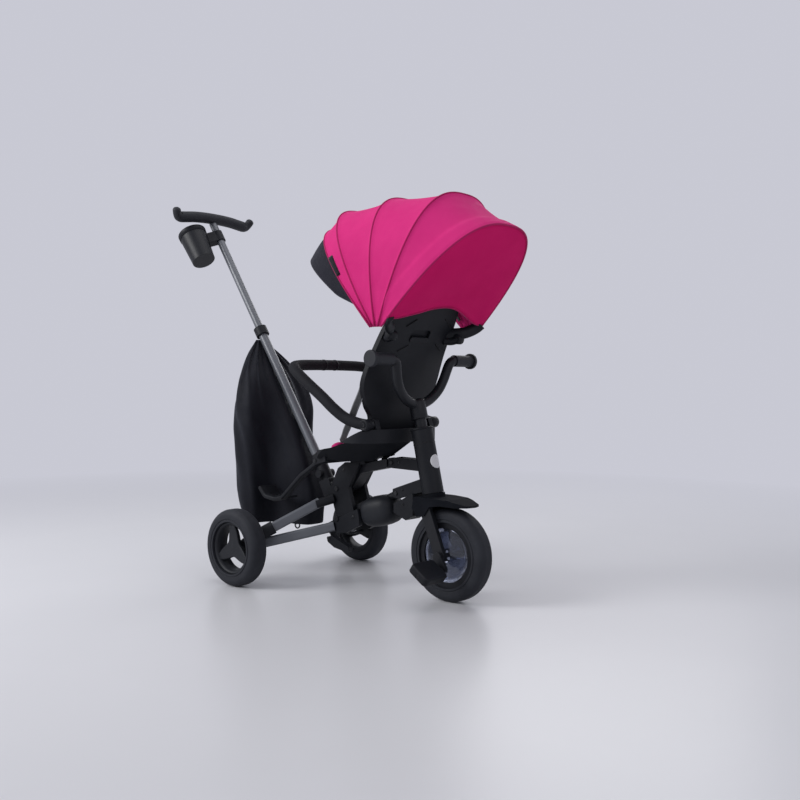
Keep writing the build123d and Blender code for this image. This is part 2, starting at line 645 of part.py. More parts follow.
grip_left -= cross_rod((HANDLEBAR_X, HANDLEBAR_Z), GRIP_START, HANDLEBAR_HALF, HANDLEBAR_R)
grip_disc = cross_rod((HANDLEBAR_X, HANDLEBAR_Z), HANDLEBAR_HALF, HANDLEBAR_HALF + GRIP_DISC, GRIP_DISC_R)
grip_left += fillet(grip_disc.edges().sort_by(Axis.Y)[-1:], GRIP_DISC / 3)
grips = pair(grip_left)


# Rear legs, stays and axle brackets
def flat_tube(top, foot, inset=0.0):
    """A straight tube of rounded rectangular section, taller than it is wide."""
    line = Vector(*foot) - Vector(*top)
    plane = Plane(origin=top, x_dir=(line.Y, -line.X, 0), z_dir=line)
    section = RectangleRounded(LEG_WIDTH - 2 * inset, LEG_HEIGHT - 2 * inset, LEG_ROUND - inset)
    return extrude(plane * section, amount=line.length)


def hollow_tube(top, foot):
    return flat_tube(top, foot) - flat_tube(top, foot, LEG_WALL)


def socket(top, foot, length):
    """A round sleeve over the last stretch of a tube."""
    line = (Vector(*top) - Vector(*foot)).normalized()
    end = Vector(*foot) + line * length
    return rod(foot, (end.X, end.Y, end.Z), SOCKET_R)


hub_solid = lower_hub + seat_post + hub_pin + foot_pin
rear_leg_left = hollow_tube(LEG_TOP, LEG_FOOT) - hub_solid - axle_left
rear_stay_left = hollow_tube(STAY_TOP, STAY_FOOT)
bracket = cross_rod(rear_axle, bracket_in, bracket_out, BRACKET_BOSS_R)
bracket_web = about(rear_axle, [(-BRACKET_BOSS_R, 0), (14, -14)])
bracket_web += about((STAY_FOOT[0], STAY_FOOT[2]), [(14, -4), (-10, 16)])
bracket += slab(bracket_web, bracket_in, bracket_out)
bracket += socket(LEG_TOP, LEG_FOOT, SOCKET_LENGTH) + socket(STAY_TOP, STAY_FOOT, SOCKET_LENGTH)
wheel_room = Pos(rear_axle[0], bracket_out + 200, REAR_WHEEL_R) * Box(600, 400, 600)
stay_solid = flat_tube(STAY_TOP, STAY_FOOT)
axle_bracket_left = bracket - wheel_room - flat_tube(LEG_TOP, LEG_FOOT) - stay_solid - axle_left
lug_start = (STAY_TOP[0] - 6, STAY_TOP[1] + 8, STAY_TOP[2] - 5)
stay_lug = rod(lug_start, (LUG_AT[0], CHEEK_OUT, LUG_AT[1]), LUG_R) - stay_solid
stay_lug -= Pos(LUG_AT[0], 0, LUG_AT[1]) * Box(200, 2 * (CHEEK_OUT + SEAT_GAP), 200)
stay_lugs = pair(stay_lug - hub_solid)
rear_axles = pair(axle_left)

# Push pole with its socket, collar and upper tube
pole_block = slab([(102, 262), (124, 226), (150, 212), (149, 252), (138, 276)], -CHEEK_OUT, CHEEK_OUT, 3)
pole_socket = pole_rod(-POLE_SOCKET_DOWN, 0, POLE_SOCKET_R) + pole_block
pole_socket += cross_rod(pole_point(-58), -KNOB_HALF, KNOB_HALF, KNOB_R)
pole_socket = pole_socket - pole_rod(-POLE_SINK, 10, LOWER_POLE_R) - seat_post - post_pin
lower_pole = pole_rod(-POLE_SINK, COLLAR_AT, LOWER_POLE_R)
lower_pole -= pole_rod(-POLE_SINK, COLLAR_AT, LOWER_POLE_R - POLE_WALL)
pole_collar = pole_rod(COLLAR_AT - COLLAR_LENGTH / 2, COLLAR_AT + COLLAR_LENGTH / 2, COLLAR_R)
pole_collar -= pole_rod(COLLAR_AT - COLLAR_LENGTH / 2, COLLAR_AT, LOWER_POLE_R)
pole_collar -= pole_rod(COLLAR_AT, COLLAR_AT + COLLAR_LENGTH / 2, UPPER_POLE_R + RUN)
upper_pole = pole_rod(COLLAR_AT - POLE_OVERLAP, POLE_LENGTH, UPPER_POLE_R)
upper_pole -= pole_rod(COLLAR_AT - POLE_OVERLAP, POLE_LENGTH, UPPER_POLE_R - POLE_WALL)

# Push bar: a shallow arch with its two ends turned up
bar_x = pole_point(POLE_LENGTH)[0]
bar_low_z = BAR_MID_Z - BAR_END_DROP
arch = ThreePointArc((bar_x, -BAR_HALF, bar_low_z), (bar_x, 0, BAR_MID_Z), (bar_x, BAR_HALF, bar_low_z))
push_bar = sweep(Plane(origin=arch @ 0, z_dir=arch % 0) * Circle(BAR_R), path=arch)
for bar_side in (-1, 1):
    horn_foot = (bar_x, bar_side * BAR_HALF, bar_low_z)
    horn_tip = (bar_x, bar_side * (BAR_HALF + BAR_HORN / 2), bar_low_z + BAR_HORN)
    push_bar += Pos(*horn_foot) * Sphere(BAR_R) + rod(horn_foot, horn_tip, BAR_HORN_R)
    push_bar += Pos(*horn_tip) * Sphere(BAR_HORN_R)
push_bar += pole_rod(POLE_LENGTH - 34, POLE_LENGTH + 14, UPPER_POLE_R + 4)
push_bar -= pole_rod(POLE_LENGTH - 60, POLE_LENGTH, UPPER_POLE_R)

# Cup and its clip, set off from the pole to the rear and to the right
cup_base = pole_point(CUP_TOP_AT - CUP_LENGTH)
pole_dir = Vector(-sin(radians(POLE_LEAN)), 0, cos(radians(POLE_LEAN)))
back_dir = Vector(-cos(radians(POLE_LEAN)), 0, -sin(radians(POLE_LEAN)))
cup_offset = back_dir * CUP_BACK + Vector(0, -CUP_SIDE, 0)
cup_origin = Vector(cup_base[0], 0, cup_base[1]) + cup_offset
cup_plane = Plane(origin=cup_origin, z_dir=pole_dir)
cup_align = (Align.CENTER, Align.CENTER, Align.MIN)
cup_outer = cup_plane * Cone(CUP_BASE_R, CUP_TOP_R, CUP_LENGTH, align=cup_align)
cup_core = Cone(CUP_BASE_R - CUP_WALL, CUP_TOP_R - CUP_WALL, CUP_LENGTH, align=cup_align)
cup = cup_outer - cup_plane * Pos(0, 0, CUP_WALL) * cup_core
clip_low = CUP_TOP_AT - CLIP_DOWN
clip_high = clip_low + CLIP_HEIGHT
clip_ring = pole_rod(clip_low, clip_high, UPPER_POLE_R + CLIP_WALL)
clip_start = pole_point((clip_low + clip_high) / 2)
clip_axis = Plane(origin=(clip_start[0], 0, clip_start[1]), x_dir=pole_dir, z_dir=cup_offset)
clip_pad = clip_axis * Box(CLIP_HEIGHT, 26, cup_offset.length, align=cup_align)
cup_space = cup_plane * Cone(CUP_BASE_R + CLEAR, CUP_TOP_R + CLEAR, CUP_LENGTH, align=cup_align)
cup_clip = clip_ring + clip_pad - cup_space - pole_rod(clip_low, clip_high, UPPER_POLE_R)


# Storage bag, a sack hung behind the pole: wide at the back, with a narrow nose to the front
def pole_back(z):
    """How far forward a soft piece may come behind the pole at a height."""
    slope = sin(radians(POLE_LEAN)) / cos(radians(POLE_LEAN))
    return POLE_BASE[0] - (z - POLE_BASE[1]) * slope - LOWER_POLE_R / cos(radians(POLE_LEAN)) - BAG_POLE_GAP


# Each level of the bag: its height, its middle, then its right outline from the back to the nose
bag_levels = [(BAG_BASE_Z, -100, [(-158, 58), (-132, 108), (-78, 110), (-70, 56), (62, 34)]),
              (240, -100, [(-176, 66), (-147, 121), (-76, 123), (-71, 58), (62, 40)]),
              (395, -100, [(-182, 72), (-152, 129), (-74, 126), (-70, 56), (pole_back(395), 44)]),
              (460, -115, [(-182, 70), (-152, 127), (-78, 123), (-72, 54), (pole_back(460), 38)]),
              (531, -130, [(-172, 60), (-147, 110), (-100, 107), (-97, 50), (pole_back(531), 34)]),
              (585, -150, [(-178, 40), (-156, 74), (-136, 84), (-134, 42), (pole_back(585), 20)]),
              (BAG_TOP_Z, -180, [(-187, 6), (-184, 12), (-180, 15), (-177, 12), (pole_back(BAG_TOP_Z), 7)])]


def bag_section(z, middle, outline, share=1.0):
    """One level as a face, drawn in to a share of its size about its middle."""
    left = [(middle + (x - middle) * share, y * share) for x, y in outline]
    right = [(x, -y) for x, y in left]
    return Pos(0, 0, z) * make_face(Polyline(*(right + left[::-1]), close=True))


bag_skin = loft([bag_section(*level) for level in bag_levels], ruled=True)
bag_hollow_levels = [(BAG_BASE_Z + BAG_WALL,) + bag_levels[0][1:]] + bag_levels[1:-1]
storage_bag = bag_skin - loft([bag_section(*level, BAG_SHARE) for level in bag_hollow_levels], ruled=True)
ring_at = (-20.0, 0.0, BAG_BASE_Z - 12)
bag_ring = Pos(*ring_at) * Rot(90, 0, 0) * Torus(9, 2)
bag_ring += Pos(ring_at[0], 0, BAG_BASE_Z - 5) * Box(3, 20, 9.8)

# Seat pan: a tub that narrows downward to the back, with ribs for the rods and a socket for the spigot
pan_profile = [(SEAT_FRONT_X, 341), (240, SEAT_BASE_Z), (SEAT_BACK_X, SEAT_BASE_Z), (SEAT_BACK_X, 416),
               (360, 416), (300, 386), (250, 367), (223, 361), (SEAT_FRONT_X, 357)]
pan_length = SEAT_BACK_X - SEAT_FRONT_X
pan_middle = (SEAT_BACK_X + SEAT_FRONT_X) / 2


def pan_prism(inset, low, high):
    plan = Rectangle(pan_length - 2 * inset, 2 * (SEAT_HALF - inset))
    plan = fillet(plan.vertices().sort_by(Axis.X)[:2], SEAT_CORNER - inset)
    plan = fillet(plan.vertices().sort_by(Axis.X)[-2:], SEAT_REAR_CORNER - inset)
    return extrude(Pos(pan_middle, 0, low) * plan, amount=high - low)


def bow_cut(inset, ledge):
    """What is taken off under the rear corners, below a ledge."""
    side_plane = Plane(origin=(BOW_X, 0, SEAT_BASE_Z + 2), z_dir=BOW_NORMAL).offset(-inset)
    cut = side_plane * Box(900, 900, 900, align=(Align.CENTER, Align.CENTER, Align.MIN))
    below = Pos(SEAT_BACK_X, 0, ledge - 500) * Box(1000, 1000, 1000)
    cut &= below
    return cut + mirror(cut, about=Plane.XZ)


pan = (slab(pan_profile, -SEAT_HALF, SEAT_HALF) & pan_prism(0, 300, 450)) - bow_cut(0, SEAT_LEDGE_Z)
tub_cut = bow_cut(SEAT_WALL, SEAT_LEDGE_Z + SEAT_WALL)
pan -= pan_prism(SEAT_WALL, SEAT_FLOOR_Z, 450) - tub_cut
under = pan_prism(SEAT_WALL, 300, SEAT_FLOOR_Z - SEAT_WALL) - tub_cut
under &= slab([(SEAT_FRONT_X, 350), (240, SEAT_BASE_Z - 30), (380, SEAT_BASE_Z - 30), (SEAT_BACK_X, 345)],
              -SEAT_HALF, SEAT_HALF)
socket_boss = rod((SEAT_AXIS_X, 0, SEAT_BASE_Z), (SEAT_AXIS_X, 0, SEAT_FLOOR_Z - 1), SPIGOT_R + SEAT_WALL)
arm_room = Pos(300, 0, 320) * Box(120, 48, 44)
pan = pan - under + socket_boss - arm_room
pan -= rod((SEAT_AXIS_X, 0, 300), (SEAT_AXIS_X, 0, spigot_top + CLEAR), SPIGOT_R + RUN)
foot_lug = [(FOOTREST_PIVOT[0] - 8, FOOTREST_PIVOT[1] - 4), (FOOTREST_PIVOT[0] + 2, FOOTREST_PIVOT[1] - 9),
            (226, 331), (222, 350), (SEAT_FRONT_X, 352), (FOOTREST_PIVOT[0] - 8, FOOTREST_PIVOT[1] + 6)]
lug_low = FOOT_ARM_OUT + 2
foot_lugs = both_sides(foot_lug, lug_low, lug_low + 10)
rib_foot = SEAT_LEDGE_Z + 2
rib_outline = [(328, rib_foot), (378, rib_foot), (381, 414), (BUMPER_PIVOT[0] + 10, BUMPER_PIVOT[1] + 13),
               (BUMPER_PIVOT[0] - 10, BUMPER_PIVOT[1] + 13), (332, 418)]
ribs = both_sides(rib_outline, RIB_IN, RIB_OUT, 4)
footrest_rod = cross_rod(FOOTREST_PIVOT, -lug_low - 12, lug_low + 12, FOOTREST_ROD_R)
recline_rod = cross_rod(RECLINE_PIVOT, -RIB_OUT, RIB_OUT, RECLINE_ROD_R)
bumper_pin = cross_rod(BUMPER_PIVOT, RIB_IN, BUMPER_PIVOT_Y + BUMPER_R, BUMPER_PIN_R)
seat_rods = group(footrest_rod, recline_rod, bumper_pin, mirror(bumper_pin, about=Plane.XZ))
pan = pan + foot_lugs[0] + foot_lugs[1] + ribs[0] + ribs[1]
eye_room = cross_rod(BUMPER_PIVOT, RIB_OUT, SEAT_HALF, BUMPER_EYE_R + SIDE_PLAY) + bumper_pin
seat_pan = pan - footrest_rod - recline_rod - eye_room - mirror(eye_room, about=Plane.XZ)

# Seat pad: a crowned pillow with drawn-in sides
pad_middle = SEAT_FRONT_X + SEAT_WALL + 4 + SEAT_PAD_LENGTH / 2
pad_bottom = SEAT_FLOOR_Z + CLEAR
pad_levels = [(0.0, 9.0), (0.4, 0.0), (0.75, 5.0), (1.0, 34.0)]
pad_faces = []
for share, inset in pad_levels:
    level = Pos(pad_middle, 0, pad_bottom + share * SEAT_PAD_THICK)
    pad_width = 2 * (SEAT_PAD_HALF - inset)
    pad_length = SEAT_PAD_LENGTH - 2 * inset
    pad_faces.append(level * RectangleRounded(pad_length, pad_width, SEAT_CORNER - inset / 2))
seat_pad = loft(pad_faces) - bow_cut(SEAT_WALL + 2 * CLEAR, SEAT_LEDGE_Z + SEAT_PAD_THICK)

# Backrest shell, bent about a line far in front of it, with a pocket for the recline handle
bend_axis = Axis((BACK_MIDDLE[0] - BACK_CURVE_R, 0, 0), (0, 0, 1))


def back_line(depth):
    """The backrest's line in the side view, at a depth in front of its rear face."""
    return ThreePointArc(*[(x - depth, 0, z) for x, z in (BACK_FOOT, BACK_MIDDLE, BACK_TOP)])


def back_layer(front, rear):
    """A curved sheet between two depths in front of the backrest's rear face."""
    near = back_line(rear)
    far = back_line(front)
    ends = [Line(near @ 0, far @ 0), Line(near @ 1, far @ 1)]
    section = make_face([near, far] + ends)
    half = revolve(section, axis=bend_axis, revolution_arc=BACK_CURVE_SPAN / 2)
    return half + mirror(half, about=Plane.XZ)


# Half widths of the backrest from its foot up, as (height, half width)
back_widths = [(404, 93), (425, 93), (446, 95), (468, 112), (490, 124), (512, 136), (540, 141), (568, 139),
               (600, 135), (640, 131), (683, 124), (705, 114), (740, 98), (752, 84)]


def back_prism(inset, low, high):
    """The backrest's front outline, drawn in by an inset, as a block along X."""
    heights = [(z, half - inset) for z, half in back_widths if low < z < high]
    left = [(half, z) for z, half in heights]
    right = [(-half, z) for z, half in reversed(heights)]
    outline = [Line(right[-1], left[0]), Spline(*left), Line(left[-1], right[0]), Spline(*right)]
    front_plane = Plane(origin=(200, 0, 0), x_dir=(0, 1, 0), z_dir=(1, 0, 0))
    return extrude(front_plane * make_face(outline), amount=400)


def rear_x(z):
    """Where the backrest's rear face is at a height, on the middle plane."""
    line = Line((0, 0, z), (1000, 0, z))
    return back_line(0).intersect(line).vertices()[0].X


pocket_normal = (cos(radians(POCKET_LEAN)), 0, -sin(radians(POCKET_LEAN)))
pocket_plane = Plane(origin=(rear_x(POCKET_Z), 0, POCKET_Z), x_dir=(0, 1, 0), z_dir=pocket_normal)
pocket_outline = RectangleRounded(POCKET_WIDTH, POCKET_HEIGHT, POCKET_CORNER)
pocket = pocket_plane * Pos(0, 0, -POCKET_DEPTH) * extrude(pocket_outline, amount=30)
back_lug = cross_rod(RECLINE_PIVOT, BACK_LUG_IN, BACK_LUG_OUT, BACK_LUG_R)
lug_outline = about(RECLINE_PIVOT, [(-BACK_LUG_R, 0), (BACK_LUG_R, 0), (3, 34), (-11, 34)])
back_lug += slab(lug_outline, BACK_LUG_IN, BACK_LUG_OUT)
rod_hole = cross_rod(RECLINE_PIVOT, -SEAT_HALF, SEAT_HALF, RECLINE_ROD_R + RUN)
back_shell = back_layer(BACK_SHELL, 0) & back_prism(0, 400, 760)
back_shell = back_shell + back_lug + mirror(back_lug, about=Plane.XZ) - rod_hole - pocket
back_pad = back_layer(BACK_SHELL + CLEAR + BACK_PAD, BACK_SHELL + CLEAR) & back_prism(16, 430, 745)
grip_z = -(POCKET_HEIGHT - RECLINE_GRIP_HEIGHT) / 2 + CLEAR
grip_outline = RectangleRounded(POCKET_WIDTH - 4, RECLINE_GRIP_HEIGHT, RECLINE_GRIP_CORNER)
grip_block = extrude(grip_outline, amount=POCKET_DEPTH + 2)
recline_grip = pocket_plane * Pos(0, grip_z, -POCKET_DEPTH + CLEAR) * grip_block

# Bumper bar: a loop from one side of the seat to the other
bumper_half = [(BUMPER_PIVOT[0], BUMPER_PIVOT_Y, BUMPER_PIVOT[1]), BUMPER_BEND, BUMPER_RAIL, BUMPER_CORNER]
bumper_right = [(x, -y, z) for x, y, z in bumper_half]
bumper_line = FilletPolyline(*bumper_right, BUMPER_FRONT, *reversed(bumper_half), radius=40)
bumper_bar = sweep(Plane(origin=bumper_line @ 0, z_dir=bumper_line % 0) * Circle(BUMPER_R), path=bumper_line)
eye_in = BUMPER_PIVOT_Y - BUMPER_R + 1
eye_out = BUMPER_PIVOT_Y + BUMPER_R - 1
bumper_eye = cross_rod(BUMPER_PIVOT, eye_in, eye_out, BUMPER_EYE_R)
bumper_bar += bumper_eye
bumper_bar += mirror(bumper_eye, about=Plane.XZ)
bumper_bar -= cross_rod(BUMPER_PIVOT, -eye_out - BUMPER_R, eye_out + BUMPER_R, BUMPER_PIN_R + RUN)

# Footrest: a cross tube with two bent arms, each ending in a slatted tray
arm_y = FOOT_ARM_OUT - FOOT_ARM_WIDTH / 2
tray_y = (FOOT_ARM_OUT + TRAY_IN) / 2
arm_bends = [(118, 286), (46, 222), (16, 216), (-22, 221), (-44, 244)]
arm_line = FilletPolyline(*[(x, arm_y, z) for x, z in [FOOTREST_PIVOT] + arm_bends], radius=16)
foot_arm = sweep(Plane(origin=arm_line @ 0, x_dir=(0, 1, 0), z_dir=arm_line % 0)
                 * RectangleRounded(FOOT_ARM_WIDTH, FOOT_ARM_THICK, 4), path=arm_line)
tray_line = FilletPolyline(*[(x, tray_y, z) for x, z in arm_bends[1:]], radius=16)
tray = sweep(Plane(origin=tray_line @ 0, x_dir=(0, 1, 0), z_dir=tray_line % 0)
             * Rectangle(FOOT_ARM_OUT - TRAY_IN, TRAY_THICK), path=tray_line)
slot_pitch = (FOOT_ARM_OUT - FOOT_ARM_WIDTH - TRAY_IN) / (TRAY_SLOTS + 0.5)
for slot in range(TRAY_SLOTS):
    tray -= Pos(6, TRAY_IN + slot_pitch * (slot + 0.8), 218) * Box(46, TRAY_SLOT_WIDTH, 40)
foot_side = foot_arm + tray
footrest = foot_side + mirror(foot_side, about=Plane.XZ)
footrest += cross_rod(FOOTREST_PIVOT, -FOOT_ARM_OUT, FOOT_ARM_OUT, FOOTREST_TUBE_R)
footrest -= cross_rod(FOOTREST_PIVOT, -FOOT_ARM_OUT, FOOT_ARM_OUT, FOOTREST_ROD_R + RUN)


# Canopy sections
def arch_points(half, height, first, last, count=13):
    """Points (y, h) of a flattened arch between two angles of its sweep, in degrees."""
    points = []
    for step in range(count):
        angle = radians(first + (last - first) * step / (count - 1))
        across = abs(cos(angle)) ** (2 / CANOPY_POWER)
        side_y = across if cos(angle) > 0 else -across
        points.append((half * side_y, height * sin(angle) ** (2 / CANOPY_POWER)))
    return points


def arch_angle(height, start_h):
    """The sweep angle at which an arch is at a height above the pivot line."""
    return degrees(asin((start_h / height) ** (CANOPY_POWER / 2)))


def fan_plane(angle):
    """A plane through the pivot line, leaning forward by an angle: local y points outward."""
    normal = (-cos(radians(angle)), 0, sin(radians(angle)))
    return Plane(origin=(CANOPY_PIVOT[0], 0, CANOPY_PIVOT[1]), x_dir=(0, -1, 0), z_dir=normal)


def band_face(angle, half, height, wall, first):
    """A band in a fan plane between an arch and the same arch less a wall, from a sweep angle up."""
    outer = Spline(*arch_points(half, height, first, 180 - first))
    inner = Spline(*arch_points(half - wall, height - wall, first, 180 - first))
    ends = [Line(outer @ 0, inner @ 0), Line(outer @ 1, inner @ 1)]
    return fan_plane(angle) * make_face([outer, inner] + ends)


def canopy_leg(angle, half):
    """The strip that carries a section down to its eye on the pivot pin, on both sides."""
    y_out = half - LEG_INSET
    strip = Pos(0, 0, (CANOPY_START_H + LEG_LAP) / 2) * Box(CANOPY_LEG, CANOPY_WALL, CANOPY_START_H + LEG_LAP)
    turned = Pos(CANOPY_PIVOT[0], y_out - CANOPY_WALL / 2, CANOPY_PIVOT[1]) * Rot(0, angle, 0) * strip
    eye = cross_rod(CANOPY_PIVOT, y_out - CANOPY_WALL, y_out, CANOPY_EYE_R)
    leg = turned + eye - cross_rod(CANOPY_PIVOT, 0, half + 20, CANOPY_PIN_R + RUN)
    return leg + mirror(leg, about=Plane.XZ)


def canopy_turned(front, rear, half, height):
    """A section of one height, turned about the pivot line from one seam to the next, on its two legs."""
    face = band_face(front, half, height, CANOPY_WALL, arch_angle(height, CANOPY_START_H))
    return revolve(face, axis=canopy_axis, revolution_arc=rear - front) + canopy_leg((front + rear) / 2, half)


def canopy_drawn(front, rear, half, front_height, rear_height):
    """A section that grows in height from its rear seam to its front seam, on its two legs."""
    first = arch_angle(rear_height, CANOPY_START_H)
    front_face = band_face(front, half, front_height, CANOPY_WALL, first)
    rear_face = band_face(rear, half, rear_height, CANOPY_WALL, first)
    return loft([front_face, rear_face], ruled=True) + canopy_leg((front + rear) / 2, half)


def canopy_hoop(angle, half, height):
    """A flat hoop just inside a section."""
    first = arch_angle(height, CANOPY_START_H)
    inset = CANOPY_WALL + SEAT_GAP
    face = band_face(angle, half - inset, height - inset, HOOP_THICK, first)
    normal = (cos(radians(angle)), 0, -sin(radians(angle)))
    return extrude(face, amount=HOOP_WIDTH / 2, dir=normal, both=True)


canopy_axis = Axis((CANOPY_PIVOT[0], 0, CANOPY_PIVOT[1]), (0, 1, 0))
mid_half = REAR_HALF + NEST_STEP
fore_half = mid_half + NEST_STEP
front_half = fore_half + NEST_STEP
canopy_rear = canopy_turned(SEAM_THREE, SEAM_REAR, REAR_HALF, REAR_HEIGHT)
canopy_mid = canopy_turned(SEAM_TWO, SEAM_THREE, mid_half, MID_HEIGHT)
canopy_fore = canopy_drawn(SEAM_ONE, SEAM_TWO, fore_half, FORE_EDGE_HEIGHT, FORE_HEIGHT)
canopy_front = canopy_turned(FRONT_EDGE, SEAM_ONE, front_half, FRONT_HEIGHT)

# Rear drape, a flat sheet in the plane of the rear hoop
drape_first = arch_angle(REAR_HEIGHT, CANOPY_START_H)
drape_lap = CANOPY_WALL / 2
top_half = REAR_HALF - drape_lap
drape_top = Spline(*arch_points(top_half, REAR_HEIGHT - drape_lap, drape_first, 180 - drape_first))
drape_hem = Spline(*arch_points(DRAPE_HALF, DRAPE_HEIGHT, 40, 140))
drape_ends = [Line(drape_top @ 0, drape_hem @ 0), Line(drape_top @ 1, drape_hem @ 1)]
drape_face = make_face([drape_top, drape_hem] + drape_ends)
drape_angle = SEAM_REAR - DRAPE_BACK
drape_normal = (-cos(radians(drape_angle)), 0, sin(radians(drape_angle)))
canopy_rear += extrude(fan_plane(drape_angle) * drape_face, amount=CANOPY_WALL, dir=drape_normal)

# Visor along the front edge
visor_faces = [band_face(FRONT_EDGE - 0.1, front_half, FRONT_HEIGHT, VISOR_WALL, VISOR_START),
               band_face(VISOR_EDGE, VISOR_HALF, VISOR_HEIGHT, VISOR_WALL, VISOR_START + VISOR_DRAW_IN)]
visor = loft(visor_faces, ruled=True)
hoop_rear = canopy_hoop(SEAM_REAR - HOOP_BACK, REAR_HALF, REAR_HEIGHT) - canopy_rear
hoop_mid = canopy_hoop(SEAM_TWO + HOOP_BACK, mid_half, MID_HEIGHT)
hoop_fore = canopy_hoop(SEAM_ONE + HOOP_BACK, fore_half, FORE_EDGE_HEIGHT - HOOP_DROP) - canopy_fore

# Canopy mounts: a plate on the backrest's edge, a boss and the pivot pin with its cap
mount_plate = [(404, 626), (424, 622), (452, 630), (458, 650), (446, 662), (420, 656)]
mount_left = slab(mount_plate, MOUNT_IN, MOUNT_OUT, 4)
mount_left += cross_rod(CANOPY_PIVOT, MOUNT_OUT, REAR_HALF - LEG_INSET - CANOPY_WALL - SEAT_GAP, MOUNT_BOSS_R)
mount_left += cross_rod(CANOPY_PIVOT, MOUNT_OUT, front_half + CLEAR, CANOPY_PIN_R)
mount_left += cross_rod(CANOPY_PIVOT, front_half + CLEAR, front_half + CLEAR + CAP_THICK, CAP_R)
canopy_mounts = pair(mount_left - back_shell - back_pad)

# Harness straps on the back pad, and the buckle on the seat pad
strap_rear = BACK_SHELL + CLEAR + BACK_PAD + SEAT_GAP
strap_height = STRAP_HIGH_Z - STRAP_LOW_Z
strap_middle = Pos(400, STRAP_Y + STRAP_WIDTH / 2, STRAP_LOW_Z + strap_height / 2)
strap_block = strap_middle * Box(400, STRAP_WIDTH, strap_height)
harness = pair(back_layer(strap_rear + STRAP_THICK, strap_rear) & strap_block)
buckle_z = pad_bottom + SEAT_PAD_THICK + SEAT_GAP + BUCKLE_SIZE[2] / 2
buckle = Pos(BUCKLE_X, BUCKLE_Y, buckle_z) * fillet(Box(*BUCKLE_SIZE).edges(), BUCKLE_SIZE[2] / 4)

# Foot pedal beside the lower hub
foot_pad = about(FOOT_PEDAL_PIVOT, [(-9, 4), (8, 8)]) + [(244, 106), (240, 92), (192, 100)]
foot_pad += about(FOOT_PEDAL_PIVOT, [(-4, -9)])
release_pedal = slab(foot_pad, -FOOT_PEDAL_OUT, -FOOT_PEDAL_IN, 4)
release_pedal -= cross_rod(FOOT_PEDAL_PIVOT, -FOOT_PEDAL_OUT, -FOOT_PEDAL_IN, FOOT_PEDAL_PIN_R + RUN)

nodes = {
    "lower_hub": lower_hub,
    "seat_post": seat_post,
    "rear_legs": pair(rear_leg_left),
    "rear_stays": pair(rear_stay_left),
    "stay_lugs": stay_lugs,
    "axle_brackets": pair(axle_bracket_left),
    "rear_axles": rear_axles,
    "fold_pins": fold_pins,
    "pole_socket": pole_socket,
    "lower_pole": lower_pole,
    "pole_collar": pole_collar,
    "storage_bag": storage_bag,
    "bag_ring": bag_ring,
    "upper_pole": upper_pole,
    "push_bar": push_bar,
    "cup_clip": cup_clip,
    "cup": cup,
    "rear_tyre_left": rear_tyre_left,
    "rear_hub_left": rear_hub_left,
    "rear_tyre_right": mirror(rear_tyre_left, about=Plane.XZ),
    "rear_hub_right": mirror(rear_hub_left, about=Plane.XZ),
    "release_pedal": release_pedal,
    "lower_arm": lower_arm,
    "hub_cover": hub_cover,
    "upper_arm": upper_arm,
    "head_tube": head_tube,
    "head_bushes": head_bushes,
    "latch_block": latch_block,
    "head_pins": head_pins,
    "steerer": steerer,
    "fork": fork,
    "fender": fender,
    "handlebar": handlebar,
    "grips": grips,
    "front_tyre": front_tyre,
    "front_rim": front_rim,
    "front_disc": front_disc,
    "crank": crank,
    "pedal_left": pedal_left,
    "pedal_right": pedal_right,
    "seat_pan": seat_pan,
    "seat_pad": seat_pad,
    "seat_rods": seat_rods,
    "buckle": buckle,
    "footrest": footrest,
    "bumper_bar": bumper_bar,
    "back_shell": back_shell,
    "back_pad": back_pad,
    "harness": harness,
    "recline_grip": recline_grip,
    "canopy_mounts": canopy_mounts,
    "canopy_rear": canopy_rear,
    "hoop_rear": hoop_rear,
    "canopy_mid": canopy_mid,
    "hoop_mid": hoop_mid,
    "canopy_fore": canopy_fore,
    "hoop_fore": hoop_fore,
    "canopy_front": canopy_front,
    "visor": visor,
}
boxes = [shape.bounding_box() for shape in nodes.values()]
middle_x = (min(box.min.X for box in boxes) + max(box.max.X for box in boxes)) / 2
for node, shape in nodes.items():
    export_step(Pos(-middle_x, 0, 0) * shape, f"parts/{node}.step")
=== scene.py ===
"""Looks of the folding push tricycle: cloth, pads, webbing, small trim and materials round its CAD frame.

Points are written in the CAD drawing's millimetres, measured from the rear axle line and the floor, and
at() turns them into the row frame in metres.
"""

from math import asin, copysign, cos, degrees, exp, pi, radians, sin, sqrt, tan

import bpy
from mathutils import Matrix, Vector, noise


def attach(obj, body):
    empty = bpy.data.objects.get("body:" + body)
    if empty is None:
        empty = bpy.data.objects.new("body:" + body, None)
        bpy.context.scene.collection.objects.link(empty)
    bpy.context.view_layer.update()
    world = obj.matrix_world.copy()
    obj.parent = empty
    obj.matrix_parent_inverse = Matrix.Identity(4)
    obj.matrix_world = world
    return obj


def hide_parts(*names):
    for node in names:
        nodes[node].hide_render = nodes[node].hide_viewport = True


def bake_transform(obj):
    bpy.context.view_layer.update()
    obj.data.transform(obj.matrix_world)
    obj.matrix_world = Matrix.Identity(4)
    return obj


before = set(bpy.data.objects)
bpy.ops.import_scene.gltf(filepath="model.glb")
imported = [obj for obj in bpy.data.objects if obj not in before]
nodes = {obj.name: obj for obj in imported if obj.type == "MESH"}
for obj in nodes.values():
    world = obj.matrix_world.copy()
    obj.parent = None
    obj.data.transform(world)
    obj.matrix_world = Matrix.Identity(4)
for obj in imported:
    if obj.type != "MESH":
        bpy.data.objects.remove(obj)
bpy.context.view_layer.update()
scene = bpy.context.scene
scene.view_settings.view_transform = "Standard"

